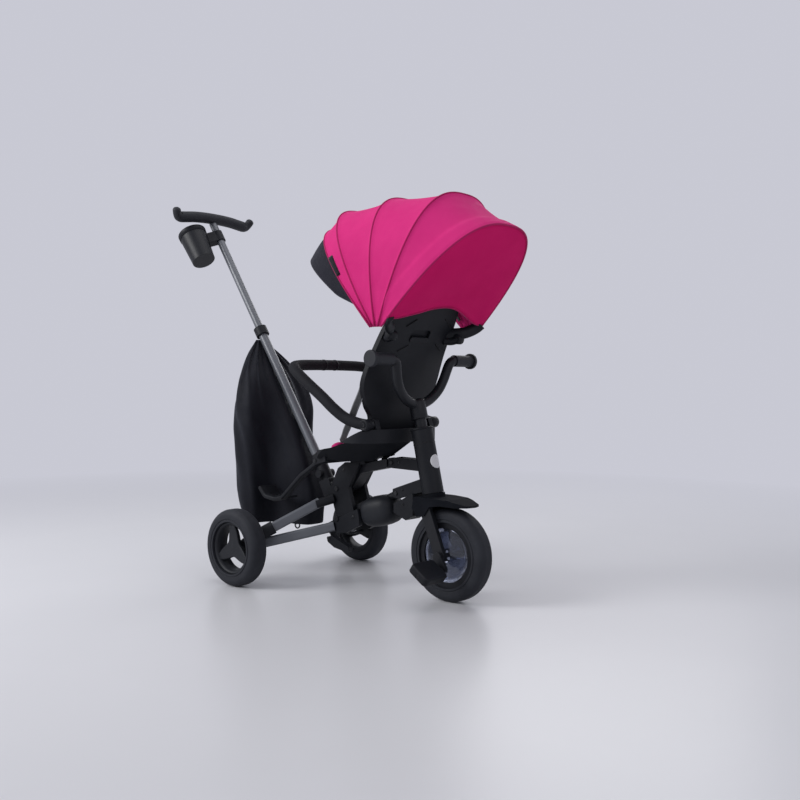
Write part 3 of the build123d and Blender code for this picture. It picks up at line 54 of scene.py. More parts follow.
# Shared with the CAD drawing
MIDDLE_X = 113.179
CANOPY_PIVOT = (443.5, 643)
CANOPY_HALF = 184
CANOPY_POWER = 2.68
BACK_FOOT = (345, 405)
BACK_MIDDLE = (394, 585)
BACK_TOP = (498, 755)
BACK_CURVE_R = 1200
BOW_X = 312.7
BOW_Z = 330
BOW_NORMAL = (0.758, 0.652, -1.2)
POLE_BASE = (58, 330)
POLE_LEAN = radians(33.8)
LOWER_POLE_R = 13
HEAD_TOP = (430, 418)
HEAD_LEAN = radians(13.4)
HEAD_R = 27


def vec(*values):
    return Vector(values)


# Directions
AHEAD = vec(1, 0, 0)
LEFT = vec(0, 1, 0)
RIGHT = vec(0, -1, 0)
BEHIND = vec(-1, 0, 0)
HEAD_DIR = vec(-sin(HEAD_LEAN), 0, cos(HEAD_LEAN))
HEAD_FRONT = vec(cos(HEAD_LEAN), 0, sin(HEAD_LEAN))


def at(x, y, z):
    """A point of the drawing, in the row frame."""
    return vec((x - MIDDLE_X) / 1000, y / 1000, z / 1000)


def smooth(value):
    value = min(1, max(0, value))
    return value * value * (3 - 2 * value)


def mix(a, b, share):
    return a + (b - a) * share


def turns(count):
    """Even angles round a circle."""
    return [2 * pi * k / count for k in range(count)]


def shares(count):
    """Even steps from 0 to 1."""
    return [k / count for k in range(count + 1)]


def rows_of(place, outer, inner):
    """Rows of points: a row for each outer value, and a point in it for each inner value."""
    return [[place(a, b) for b in inner] for a in outer]


def squared(value, power):
    """A sine or cosine drawn out, so that a circle comes nearer to a square."""
    return copysign(abs(value) ** power, value)


def new_object(name, data):
    piece = bpy.data.objects.new(name, data)
    scene.collection.objects.link(piece)
    return piece


# Camera, at the photograph's angle
CAMERA_AT = (1891.3, -1782.9, 535.4)
CAMERA_YAW = radians(40.68)
CAMERA_PITCH = radians(-1.19)
CAMERA_ROLL = radians(0.22)
CAMERA_LENS = 41.67


def place_camera():
    level = cos(CAMERA_PITCH)
    forward = vec(-sin(CAMERA_YAW) * level, cos(CAMERA_YAW) * level, sin(CAMERA_PITCH))
    right = vec(cos(CAMERA_YAW), sin(CAMERA_YAW), 0)
    up = right.cross(forward)
    across = right * cos(CAMERA_ROLL) + up * sin(CAMERA_ROLL)
    upright = up * cos(CAMERA_ROLL) - right * sin(CAMERA_ROLL)
    data = bpy.data.cameras.new("camera")
    data.sensor_width = 36
    data.lens = CAMERA_LENS
    camera = new_object("camera", data)
    turn = Matrix((across, upright, -forward)).transposed().to_4x4()
    camera.matrix_world = Matrix.Translation(at(*CAMERA_AT)) @ turn
    scene.camera = camera


place_camera()


# Meshes
class Builder:
    """Collects the points and faces of one piece, in drawing millimetres."""

    def __init__(self):
        self.points = []
        self.faces = []
        self.marks = []
        self.uvs = []

    def grid(self, rows, mark=0, ring=False, flip=False, ends=False):
        """A sheet through rows of points; a ring closes each row on itself, and ends close a ring sheet."""
        first = len(self.points)
        count = len(rows[0])
        run = run_along([row[count // 2] for row in rows])
        for row, along in zip(rows, run):
            across = 0
            for index, point in enumerate(row):
                across += (point - row[index - 1]).length if index else 0
                self.points.append(point)
                self.uvs.append((across / 1000, along / 1000))
        steps = count if ring else count - 1
        for r in range(len(rows) - 1):
            for c in range(steps):
                a = first + r * count + c
                b = first + r * count + (c + 1) % count
                self.face((a, b, b + count, a + count), mark, flip)
        if ends:
            last = first + (len(rows) - 1) * count
            self.face(tuple(range(first + count - 1, first - 1, -1)), mark, flip)
            self.face(tuple(range(last, last + count)), mark, flip)
        return first, count

    def face(self, corners, mark, flip=False):
        self.faces.append(corners[::-1] if flip else corners)
        self.marks.append(mark)

    def shell(self, rows, thick, mark=0, ring=False):
        """A sheet with a thickness on the side that its normals leave, and closed rims."""
        outer, count = self.grid(rows, mark, ring)
        inner, count = self.grid(offset_rows(rows, -thick, ring), mark, ring, flip=True)
        last = (len(rows) - 1) * count
        edges = []
        for c in range(count if ring else count - 1):
            d = (c + 1) % count
            edges += [(d, c), (last + c, last + d)]
        if not ring:
            for a in range(0, last, count):
                edges += [(a, a + count), (a + 2 * count - 1, a + count - 1)]
        for a, b in edges:
            self.face((outer + a, outer + b, inner + b, inner + a), mark)

    def tube(self, line, radius, mark=0, sides=10, closed=False, flat=1):
        """A round or flattened tube along a line; radius may be one number or one for each point."""
        radii = radius if isinstance(radius, list) else [radius] * len(line)
        rows = []
        side = None
        for index, point in enumerate(line):
            ahead = heading(line, index, closed).normalized()
            if side is None:
                side = ahead.cross(vec(0.3, 0.2, 1)).normalized()
            side = (side - ahead * side.dot(ahead)).normalized()
            other = ahead.cross(side)
            wide = radii[index]
            rows.append([point + side * wide * cos(turn) + other * wide * flat * sin(turn)
                         for turn in turns(sides)])
        if closed:
            rows.append(list(rows[0]))
        self.grid(rows, mark, ring=True, ends=not closed)

    def lathe(self, centre, axis, profile, mark=0, sides=40):
        """A turned shape: profile is (distance along the axis, radius) from one end to the other."""
        axis = axis.normalized()
        side = axis.cross(vec(0.2, 1, 0.31)).normalized()
        other = axis.cross(side)
        rows = [[centre + axis * along + (side * cos(turn) + other * sin(turn)) * r for turn in turns(sides)]
                for along, r in profile]
        self.grid(rows, mark, ring=True)

    def build(self, name, materials):
        mesh = bpy.data.meshes.new(name)
        mesh.from_pydata([at(*point) for point in self.points], [], self.faces)
        layer = mesh.uv_layers.new(name="cloth")
        for loop in mesh.loops:
            layer.data[loop.index].uv = self.uvs[loop.vertex_index]
        for polygon, mark in zip(mesh.polygons, self.marks):
            polygon.use_smooth = True
            polygon.material_index = mark
        for material in materials:
            mesh.materials.append(material)
        mesh.update()
        return new_object(name, mesh)

    def fit(self, name, materials, body, replaced=None):
        """The finished piece, riding on a body, in place of a CAD node if one is named."""
        piece = self.build(name, materials)
        if replaced:
            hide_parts(replaced)
        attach(piece, body)
        return piece


def heading(line, index, closed=False):
    """From the point before one of a line's points to the point after it."""
    count = len(line)
    if closed:
        return line[(index + 1) % count] - line[index - 1]
    return line[min(index + 1, count - 1)] - line[max(index - 1, 0)]


def run_along(line):
    """The distance from a line's start to each of its points."""
    run = [0]
    for near, far in zip(line, line[1:]):
        run.append(run[-1] + (far - near).length)
    return run


def offset_rows(rows, distance, ring=False):
    """The same rows moved along the sheet's normals."""
    moved = []
    for r, row in enumerate(rows):
        up_row = rows[min(r + 1, len(rows) - 1)]
        down_row = rows[max(r - 1, 0)]
        line = []
        for c, point in enumerate(row):
            normal = heading(row, c, ring).cross(up_row[c] - down_row[c])
            line.append(point + normal.normalized() * distance if normal.length > 1e-9 else point.copy())
        moved.append(line)
    return moved


def curve_through(points, steps):
    """A smooth line through a few points."""
    line = []
    for i in range(len(points) - 1):
        p0, p1 = points[max(i - 1, 0)], points[i]
        p2, p3 = points[i + 1], points[min(i + 2, len(points) - 1)]
        for k in range(steps):
            t = k / steps
            line.append(0.5 * ((2 * p1) + (p2 - p0) * t + (2 * p0 - 5 * p1 + 4 * p2 - p3) * t * t
                               + (3 * p1 - p0 - 3 * p2 + p3) * t ** 3))
    line.append(points[-1].copy())
    return line


def mirrored(half):
    """A line from one end to its last point, in the middle, and on to the other side."""
    other = [(x, -y, z) for x, y, z in reversed(half[:-1])]
    return [Vector(point) for point in half + other]


# Materials
def start_material(name):
    """A new material, its shader, and its coordinates on the object and on the cloth."""
    material = bpy.data.materials.new(name)
    material.use_nodes = True
    tree = material.node_tree
    places = node(tree, "ShaderNodeTexCoord").outputs
    return material, tree.nodes["Principled BSDF"], places["Object"], places["UV"]


def join_or_set(source, socket):
    if isinstance(source, bpy.types.NodeSocket):
        socket.id_data.links.new(source, socket)
    else:
        socket.default_value = source


def feed(made, **values):
    """Give a node its settings, and its inputs their constants or the sockets that they follow."""
    for key, value in values.items():
        if hasattr(made, key):
            setattr(made, key, value)
        else:
            join_or_set(value, made.inputs[key.replace("_", " ")])
    return made


def node(near, kind, **values):
    """A new node in the tree of a socket, of another node or of the tree itself."""
    return feed(near.id_data.nodes.new(kind), **values)


def calculated(operation, *sources, kind="ShaderNodeMath"):
    """The result of a math node."""
    made = node(sources[0], kind, operation=operation)
    for source, socket in zip(sources, made.inputs):
        join_or_set(source, socket)
    return made.outputs["Value"]


def speckle(place, scale, detail=3, rough=0.55, stretch=None):
    """A noise value over a coordinate, stretched if asked."""
    if stretch:
        place = node(place, "ShaderNodeMapping", Vector=place, Scale=stretch).outputs["Vector"]
    made = node(place, "ShaderNodeTexNoise", Vector=place, Scale=scale, Detail=detail, Roughness=rough)
    return made.outputs["Fac"]


def ranged(value, low, high, to_low, to_high):
    made = node(value, "ShaderNodeMapRange", Value=value, From_Min=low, From_Max=high)
    return feed(made, To_Min=to_low, To_Max=to_high).outputs["Result"]


def cloudy(place, scale, to_low=0, to_high=1, detail=3):
    """Noise drawn out to the whole of a range."""
    return ranged(speckle(place, scale, detail), 0.3, 0.7, to_low, to_high)


def ribbed(place, direction, pitch, distortion, **values):
    """Even ribs across a coordinate; the pitch is in metres."""
    made = node(place, "ShaderNodeTexWave", Vector=place, bands_direction=direction,
                Scale=2 * pi / (20 * pitch), Distortion=distortion, **values)
    return made.outputs["Fac"]


def blended(factor, first, second):
    """Two colours, mixed by a value; a colour may be a socket."""
    made = node(factor, "ShaderNodeMix", data_type="RGBA", Factor=factor)
    for name, colour in (("A", first), ("B", second)):
        socket = [s for s in made.inputs if s.name == name and s.type == "RGBA"][0]
        join_or_set((*colour, 1) if isinstance(colour, tuple) else colour, socket)
    return [s for s in made.outputs if s.type == "RGBA"][0]


def bumped(height, strength, distance, normal=None):
    made = node(height, "ShaderNodeBump", Strength=strength, Distance=distance, Height=height)
    if normal:
        feed(made, Normal=normal)
    return made.outputs["Normal"]


def mixed_surface(factor, first, second, output):
    """Two shaders mixed by a value, as a tree's surface."""
    blend = node(factor, "ShaderNodeMixShader", Fac=factor)
    join_or_set(first, blend.inputs[1])
    join_or_set(second, blend.inputs[2])
    feed(factor.id_data.nodes[output], Surface=blend.outputs["Shader"])


def hard_material(name, dark, light, rough, grain=900, grain_depth=0.00012, metallic=0, worn=None,
                  edge=0.0012, specular=0.5):
    """Moulded or metal surface: cloudy colour, grain, rounded and slightly worn edges."""
    material, bsdf, place, _ = start_material(name)
    colour = blended(cloudy(place, 22), dark, light)
    bevel = node(bsdf, "ShaderNodeBevel", samples=4, Radius=edge).outputs["Normal"]
    if worn:
        flat = node(bsdf, "ShaderNodeNewGeometry").outputs["Normal"]
        facing = calculated("DOT_PRODUCT", bevel, flat, kind="ShaderNodeVectorMath")
        rim = ranged(facing, 0.85, 0.99, 1, 0)
        patch = ranged(speckle(place, 160, 4), 0.42, 0.62, 0, 0.7)
        colour = blended(calculated("MULTIPLY", rim, patch), colour, worn)
    fine = speckle(place, grain, 2, 0.6)
    feed(bsdf, Base_Color=colour, Roughness=ranged(fine, 0.25, 0.75, rough - 0.07, rough + 0.07),
         Normal=bumped(fine, 0.35, grain_depth, bevel), Metallic=metallic, Specular_IOR_Level=specular)
    return material


def cloth_material(name, dark, light, thread, rough=0.8, sheen=0.35, sheen_tint=(1, 1, 1), use_uv=True,
                   depth=0.00025, wrinkle=0, specular=0.12):
    """Woven cloth: two crossing threads with painted shade between them, cloudy colour, sheen and optional
    soft creases.
    """
    material, bsdf, body, flat = start_material(name)
    place = flat if use_uv else body
    weave = calculated("MAXIMUM", *[ribbed(place, way, thread, 1.2, Detail=1) for way in ("X", "Y")])
    colour = blended(cloudy(body, 9, detail=4), dark, light)
    # Painted shade: the colour darkens in the gaps between the threads
    painted_thread_shade = ranged(weave, 0.3, 1, 0.3, 0)
    colour = blended(painted_thread_shade, colour, tuple(c * 0.55 for c in dark))
    normal = bumped(weave, 0.4, depth)
    if wrinkle:
        crease = speckle(body, 26, 2, 0.5, stretch=(1, 1, 0.35))
        normal = bumped(crease, 0.5, wrinkle, normal)
    feed(bsdf, Base_Color=colour, Normal=normal, Specular_IOR_Level=specular,
         Roughness=cloudy(body, 60, rough - 0.06, rough + 0.06),
         Sheen_Weight=sheen, Sheen_Roughness=0.4, Sheen_Tint=(*sheen_tint, 1))
    return material


def clear_material():
    """Clear wheel plastic with a cold tint and faint scuffs."""
    material, bsdf, place, _ = start_material("clear_plastic")
    colour = blended(speckle(place, 40), (0.1, 0.12, 0.2), (0.42, 0.45, 0.53))
    scuff = speckle(place, 420, 4)
    feed(bsdf, Base_Color=colour, Roughness=ranged(scuff, 0.35, 0.75, 0.03, 0.14),
         Normal=bumped(scuff, 0.15, 0.0001), Transmission_Weight=0.92, IOR=1.49)
    return material


# Width of every strap in its own cloth coordinates
STRAP_UV = 0.025


def webbing_material():
    """Woven strap with a ribbed face and pale edges."""
    material, bsdf, body, flat = start_material("webbing_weave")
    across = node(bsdf, "ShaderNodeSeparateXYZ", Vector=flat).outputs["X"]
    from_edge = calculated("PINGPONG", across, STRAP_UV / 2)
    rim = ranged(from_edge, 0.0022, 0.0032, 1, 0)
    face = blended(cloudy(body, 120), (0.013, 0.014, 0.017), (0.021, 0.022, 0.026))
    ribs = ribbed(flat, "Y", 0.0016, 0.6)
    feed(bsdf, Base_Color=blended(rim, face, (0.2, 0.2, 0.215)), Normal=bumped(ribs, 0.5, 0.0004),
         Roughness=cloudy(body, 300, 0.62, 0.78), Sheen_Weight=0.08)
    return material


BLACK_TONES = ((0.0065, 0.0075, 0.0105), (0.01, 0.011, 0.0145))
WORN_BLACK = (0.03, 0.032, 0.038)
WORN_SLATE = (0.035, 0.037, 0.043)
BLACK = hard_material("moulded_black", *BLACK_TONES, 0.5, worn=WORN_BLACK, specular=0.2)
SLATE = hard_material("moulded_slate", (0.011, 0.0125, 0.0165), (0.016, 0.0175, 0.022), 0.52,
                      worn=WORN_SLATE, specular=0.25)
PAINTED = hard_material("painted_black", (0.008, 0.009, 0.012), (0.012, 0.013, 0.0165), 0.42, grain=500,
                        worn=WORN_SLATE, specular=0.25)
GUNMETAL = hard_material("anodised_grey", (0.11, 0.117, 0.134), (0.13, 0.138, 0.156), 0.34, grain=500,
                         grain_depth=0.000005, metallic=0.1)
MATT = hard_material("matt_black", *BLACK_TONES, 0.8, worn=WORN_BLACK, specular=0.06)
STEEL = hard_material("zinc_steel", (0.36, 0.37, 0.39), (0.46, 0.47, 0.49), 0.3, metallic=1)
DARK_STEEL = hard_material("blackened_steel", (0.012, 0.0125, 0.015), (0.02, 0.021, 0.024), 0.36,
                           metallic=0.3, worn=(0.06, 0.062, 0.068), specular=0.4)
BUSH = hard_material("bush_nylon", (0.012, 0.012, 0.014), (0.018, 0.018, 0.02), 0.5, specular=0.3)
TYRE = hard_material("foam_tyre", (0.017, 0.0185, 0.024), (0.025, 0.027, 0.034), 0.68, grain=620,
                     grain_depth=0.0004, worn=(0.045, 0.046, 0.053), specular=0.25)
FOAM = hard_material("foam_sleeve", (0.0075, 0.008, 0.011), (0.012, 0.0125, 0.016), 0.72, grain=760,
                     grain_depth=0.0005, specular=0.2)
RUBBER = hard_material("grip_rubber", (0.013, 0.0145, 0.019), (0.02, 0.0215, 0.027), 0.58, grain=700,
                       grain_depth=0.0003, worn=(0.04, 0.041, 0.047), specular=0.3)
CLEAR = clear_material()
PINK = cloth_material("pink_weave", (0.66, 0.023, 0.195), (0.74, 0.031, 0.225), 0.0007, rough=0.78,
                      sheen=0.1, sheen_tint=(1, 0.35, 0.6), wrinkle=0.0012)
# A darker, redder copy of the pink cloth with less shine: painted shade for the rear flap, which hangs in the
# canopy's shade
PINK_DRAPE_PAINTED_SHADE = cloth_material("pink_drape", (0.6, 0.011, 0.125), (0.67, 0.015, 0.145), 0.0007, rough=0.85,
                            sheen=0.03, sheen_tint=(1, 0.3, 0.5), wrinkle=0.001, specular=0.03)
# Piping cloth: a real part, but its pink is darker than the panels' so that it paints the shade along the
# seams
PINK_PIPING_SEAM_SHADE = cloth_material("pink_piping", (0.40, 0.012, 0.105), (0.46, 0.016, 0.125), 0.0005,
                             sheen=0.15, sheen_tint=(1, 0.5, 0.7))
PINK_PAD = cloth_material("pink_quilt", (0.6, 0.02, 0.18), (0.7, 0.03, 0.21), 0.0016, rough=0.82, sheen=0.3,
                          sheen_tint=(1, 0.6, 0.8), use_uv=False, depth=0.0005, wrinkle=0.0012)
NYLON = cloth_material("black_nylon", (0.0075, 0.008, 0.0125), (0.012, 0.013, 0.0185), 0.0008, rough=0.6,
                       sheen=0.15, sheen_tint=(0.7, 0.75, 0.9), wrinkle=0.0016)
VISOR_CLOTH = cloth_material("visor_weave", (0.0085, 0.0085, 0.0145), (0.013, 0.013, 0.02), 0.0009, rough=0.7,
                             sheen=0.1, sheen_tint=(0.8, 0.8, 0.95))
BINDING = cloth_material("binding_tape", (0.05, 0.05, 0.06), (0.075, 0.075, 0.085), 0.0006, rough=0.75)
BLACK_TAPE = cloth_material("black_tape", (0.008, 0.008, 0.011), (0.013, 0.013, 0.017), 0.0006, rough=0.75)
WEBBING = webbing_material()
WHITE_DISC = hard_material("blank_disc", (0.62, 0.62, 0.64), (0.7, 0.7, 0.72), 0.4, edge=0.0004)
# Near-black painted shade, put on slots, grooves and recesses in place of their shadow
RECESS_SHADE = hard_material("dark_recess", (0.003, 0.003, 0.004), (0.006, 0.006, 0.007), 0.7)
HOOP = hard_material("hoop_plastic", (0.02, 0.02, 0.022), (0.03, 0.03, 0.033), 0.5)

# Materials of the CAD nodes
FINISHES = [
    (BLACK, ["seat_post", "axle_brackets", "stay_lugs", "pole_socket", "pole_collar", "cup_clip",
             "release_pedal", "head_tube", "latch_block", "seat_pan", "footrest", "back_shell",
             "recline_grip", "buckle", "pedal_left", "pedal_right", "front_rim", "lower_hub"]),
    (PAINTED, ["lower_arm", "upper_arm", "fork", "crank", "steerer", "cup"]),
    (MATT, ["fender"]),
    (GUNMETAL, ["rear_legs", "rear_stays", "lower_pole", "upper_pole"]),
    (STEEL, ["rear_axles"]),
    (DARK_STEEL, ["fold_pins", "head_pins", "seat_rods", "bag_ring"]),
    (BUSH, ["head_bushes"]),
    (TYRE, ["rear_tyre_left", "rear_tyre_right", "front_tyre"]),
    (RUBBER, ["grips"]),
    (CLEAR, ["front_disc"]),
    (HOOP, ["hoop_rear", "hoop_mid", "hoop_fore"]),
]
for finish, names in FINISHES:
    for name in names:
        nodes[name].data.materials.clear()
        nodes[name].data.materials.append(finish)

# Seams of the canopy from front to rear: fan angle, height above the pivot line
FRONT_EDGE = (-43.1, 394)
SEAM_ONE = (-33.3, 394)
SEAM_TWO = (-10, 348.5)
SEAM_THREE = (18.8, 354)
REAR_HOOP = (44.5, 348)

# Sizes of the canopy's cloth
PIVOT = vec(CANOPY_PIVOT[0], 0, CANOPY_PIVOT[1])
CLOTH = 1.2
CLOTH_LOW = 17.5
COLUMNS = 112
HOOP_RIDGE = 2.6
HOOP_RIDGE_WIDE = 6
PANEL_FOLD = 1.7
PIPING_R = 2.3
PIPING_LIFT = 3.4
BLEND_HEIGHT = 300
HEM_HALF = 182.5
HEM_LOW = 51.5
HEM_RISE = 46.5
DRAPE_LIFT = 2
DRAPE_BELLY = 9
DRAPE_FOLD = 2
TAG_SWEEP = (157, 144.5)
TAG_FOLDS = [(-0.06, 1), (0, 5), (0.1, 5.2), (0.2, 3.6), (0.3, 2.6)]


# Canopy
def arch(seam, sweep, half=CANOPY_HALF):
    """A point of the canopy's arch in a fan plane; the sweep goes from the left (0) to the right (180)."""
    up = seam[1] * max(0, sin(radians(sweep))) ** (2 / CANOPY_POWER)
    point = fan_point(seam, up)
    point.y = half * squared(cos(radians(sweep)), 2 / CANOPY_POWER)
    return point


def fan_point(seam, height):
    """The middle of a seam's fan plane at a height above the pivot line."""
    angle = radians(seam[0])
    return vec(CANOPY_PIVOT[0] + height * sin(angle), 0, CANOPY_PIVOT[1] + height * cos(angle))


def sweep_at(seam, height):
    """The sweep at which an arch is at a height above the pivot line."""
    return degrees(asin((height / seam[1]) ** (CANOPY_POWER / 2)))


def lowest_sweep(seam):
    """The sweep at which the cloth of a seam ends; all the seams end on one level line."""
    return sweep_at(seam, CLOTH_LOW / cos(radians(seam[0])))


def panel_rows(rear, front, sag, steps, band=0):
    """Cloth drawn straight from hoop to hoop, dipping a little between them, with a ridge on each hoop."""
    rear_low = lowest_sweep(rear)
    front_low = lowest_sweep(front)

    def place(step, turn):
        share = mix(step, smooth(step), 0.55)
        arc = 4 * share * (1 - share)
        back = arch(rear, mix(rear_low, 180 - rear_low, turn))
        fore = arch(front, mix(front_low, 180 - front_low, turn))
        width = (fore - back).length
        point = back.lerp(fore, share)
        outward = point - PIVOT
        outward.y *= 1.4
        outward.normalize()
        crown = sin(pi * turn) ** 0.8
        lift = -sag * arc * crown
        to_hoop = min(share, 1 - share) * width
        lift += HOOP_RIDGE * exp(-(to_hoop / HOOP_RIDGE_WIDE) ** 2) * min(1, width / 40)
        if band:
            edge = share * width
            lift += band * smooth((50 - edge) / 16) * smooth(edge / 10) * smooth(width / 90)
        fold = noise.noise(vec(turn * 9, share * 2.2, rear[0] * 0.37))
        lift += PANEL_FOLD * fold * arc * (1.25 - crown)
        return point + outward * lift

    return rows_of(place, shares(steps), shares(COLUMNS))


def seam_line(seam, lift):
    """The line of a seam just proud of the cloth."""
    low = lowest_sweep(seam)
    line = [arch(seam, mix(low, 180 - low, turn)) for turn in shares(COLUMNS)]
    return [point + (point - PIVOT).normalized() * lift for point in line]


def drape_rows():
    """The rear flap, from the rear hoop down to its raised hem, bellied outward."""
    angle = radians(REAR_HOOP[0])
    outward = vec(cos(angle), 0, -sin(angle))
    upward = vec(sin(angle), 0, cos(angle))
    low = sweep_at(REAR_HOOP, HEM_LOW + 2)

    def place(share, turn):
        top = arch(REAR_HOOP, mix(low, 180 - low, turn))
        top += (top - PIVOT).normalized() * DRAPE_LIFT
        y = HEM_HALF * (1 - 2 * turn)
        rise = HEM_LOW + HEM_RISE * (cos(pi * y / HEM_HALF) + 1) / 2
        hem = PIVOT + upward * rise + vec(0, y, 0)
        belly = DRAPE_BELLY * sin(pi * min(1, share * 1.1)) * sin(pi * turn) ** 0.7
        belly += DRAPE_FOLD * noise.noise(vec(turn * 7, share * 2, 3.1)) * share
        return top.lerp(hem, share) + outward * belly

    return rows_of(place, shares(24), shares(COLUMNS))


def tag_rows(rear, front):
    """A blank sewn tag that folds over the front edge on the right."""
    def place(step, fold):
        share, lift = fold
        sweep = mix(*TAG_SWEEP, step)
        edge = arch(front, sweep)
        out = ((edge - PIVOT).normalized() + RIGHT).normalized()
        return edge.lerp(arch(rear, sweep), share) + out * lift

    return rows_of(place, shares(12), TAG_FOLDS)


def canopy_rear():
    """The rear panel and its flap, with piping on both seams and the hem; the flap's cloth is a darker,
    redder copy of the pink that paints the shade under the canopy's rear.
    """
    made = Builder()
    made.shell(panel_rows(REAR_HOOP, SEAM_THREE, 6, 30, band=4.5), CLOTH)
    drape = drape_rows()
    made.shell(drape, CLOTH, 2)
    # The piping's darker pink paints the shade along the seams and the hem
    made.tube(seam_line(SEAM_THREE, PIPING_LIFT), PIPING_R, 1)
    made.tube(seam_line(REAR_HOOP, 2.6), PIPING_R, 1)
    made.tube(drape[-1], 1.8, 1)
    materials = [PINK, PINK_PIPING_SEAM_SHADE, PINK_DRAPE_PAINTED_SHADE]
    piece = made.fit("canopy_cloth_rear", materials, "backrest", "canopy_rear")


def canopy_panel(name, rear, front, sag, own, tag=False):
    """A panel with piping on its front seam."""
    made = Builder()
    made.shell(panel_rows(rear, front, sag, 26), CLOTH)
    # The piping's darker pink paints the shade along the seam
    made.tube(seam_line(front, PIPING_LIFT), PIPING_R, 1)
    if tag:
        made.shell(tag_rows(rear, front), 1, 2)
    piece = made.build(name, [PINK, PINK_PIPING_SEAM_SHADE, BLACK_TAPE])
    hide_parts(own)
    start = fan_point(rear, BLEND_HEIGHT)
    end = fan_point(front, BLEND_HEIGHT)
    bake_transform(piece)


canopy_rear()
canopy_panel("canopy_cloth_mid", SEAM_THREE, SEAM_TWO, 4, "canopy_mid")
canopy_panel("canopy_cloth_fore", SEAM_TWO, SEAM_ONE, 6, "canopy_fore")
canopy_panel("canopy_cloth_front", SEAM_ONE, FRONT_EDGE, 1, "canopy_front",
             tag=True)

# Visor, a stiffened peak that grows out of the front edge
VISOR_INNER = (FRONT_EDGE[0] + 0.6, FRONT_EDGE[1] - 3)
VISOR_OUTER = (-57, 412)
VISOR_OUTER_HALF = 160


def visor_point(share, turn):
    inner = arch(VISOR_INNER, mix(9, 171, turn), CANOPY_HALF - 3)
    outer = arch(VISOR_OUTER, mix(11, 169, turn), VISOR_OUTER_HALF)
    reach = smooth(min(turn, 1 - turn) / 0.07) ** 0.35
    point = inner.lerp(outer, share * reach)
    point.z += 5 * sin(pi * share) * reach
    return point


def visor():
    made = Builder()
    rows = rows_of(visor_point, shares(12), shares(COLUMNS))
    made.shell(rows, 2)
    made.tube(rows[-1], 2, 1)
    piece = made.fit("visor_peak", [VISOR_CLOTH, BINDING], "canopy_front", "visor")


visor()

# Storage bag: height, and the left half of the outline there from the rear to the front
BAG_LEVELS = [
    (141, [(-158, 58), (-132, 108), (-78, 110), (-70, 56), (62, 34)]),
    (240, [(-176, 66), (-147, 121), (-76, 123), (-71, 58), (62, 40)]),
    (395, [(-182, 72), (-152, 129), (-74, 126), (-70, 56), (-2, 44)]),
    (460, [(-182, 70), (-152, 127), (-78, 123), (-72, 54), (-46, 38)]),
    (531, [(-172, 60), (-147, 110), (-100, 107), (-97, 50), (-93, 34)]),
    (585, [(-178, 40), (-156, 74), (-136, 84), (-134, 42), (-129, 20)]),
    (652, [(-187, 6), (-184, 12), (-180, 15), (-177, 12), (-174, 7)]),
]
BAG_LOW = BAG_LEVELS[0][0]
BAG_HIGH = BAG_LEVELS[-1][0]
BAG_RING = 168
BAG_CLOTH = 1.2
BAG_INSET = 2
BAG_SLACK = 3.2
LOOSE_FOLD = 2.6
GATHERED_FOLD = 7.5


def pole_back(z):
    """How far forward the bag may come behind the pole at a height."""
    return POLE_BASE[0] - (z - POLE_BASE[1]) * tan(POLE_LEAN) - LOWER_POLE_R / cos(POLE_LEAN) - 1


def bag_outline(outline):
    """One level's closed outline, evenly divided and rounded at its corners."""
    corners = [vec(x, y) for x, y in outline] + [vec(x, -y) for x, y in reversed(outline)]
    count = len(corners)
    lengths = [(corners[(i + 1) % count] - corners[i]).length for i in range(count)]
    total = sum(lengths)
    points = []
    for k in range(BAG_RING):
        run = total * k / BAG_RING
        side = 0
        while run > lengths[side]:
            run -= lengths[side]
            side += 1
        points.append(corners[side].lerp(corners[(side + 1) % count], run / lengths[side]))
    for window in (4, 3):
        points = [sum((points[(k + d) % BAG_RING] for d in range(-window, window + 1)), vec(0, 0))
                  / (2 * window + 1) for k in range(BAG_RING)]
    return points


def bag_level(rings, z):
    """The bag's smooth outline at a height, led through the outlines of its levels."""
    level = max(i for i, ring in enumerate(rings[:-1]) if ring[0] <= z)
    low_z, high_z = rings[level][0], rings[level + 1][0]
    share = (z - low_z) / (high_z - low_z)
    s2, s3 = share * share, share ** 3
    before = rings[max(level - 1, 0)]
    after = rings[min(level + 2, len(rings) - 1)]
    row = []
    for k in range(BAG_RING):
        a, b = rings[level][1][k], rings[level + 1][1][k]
        slope_a = (b - before[1][k]) / max(1, high_z - before[0]) * (high_z - low_z)
        slope_b = (after[1][k] - a) / max(1, after[0] - low_z) * (high_z - low_z)
        row.append(a * (2 * s3 - 3 * s2 + 1) + slope_a * (s3 - 2 * s2 + share)
                   + b * (3 * s2 - 2 * s3) + slope_b * (s3 - s2))
    return row


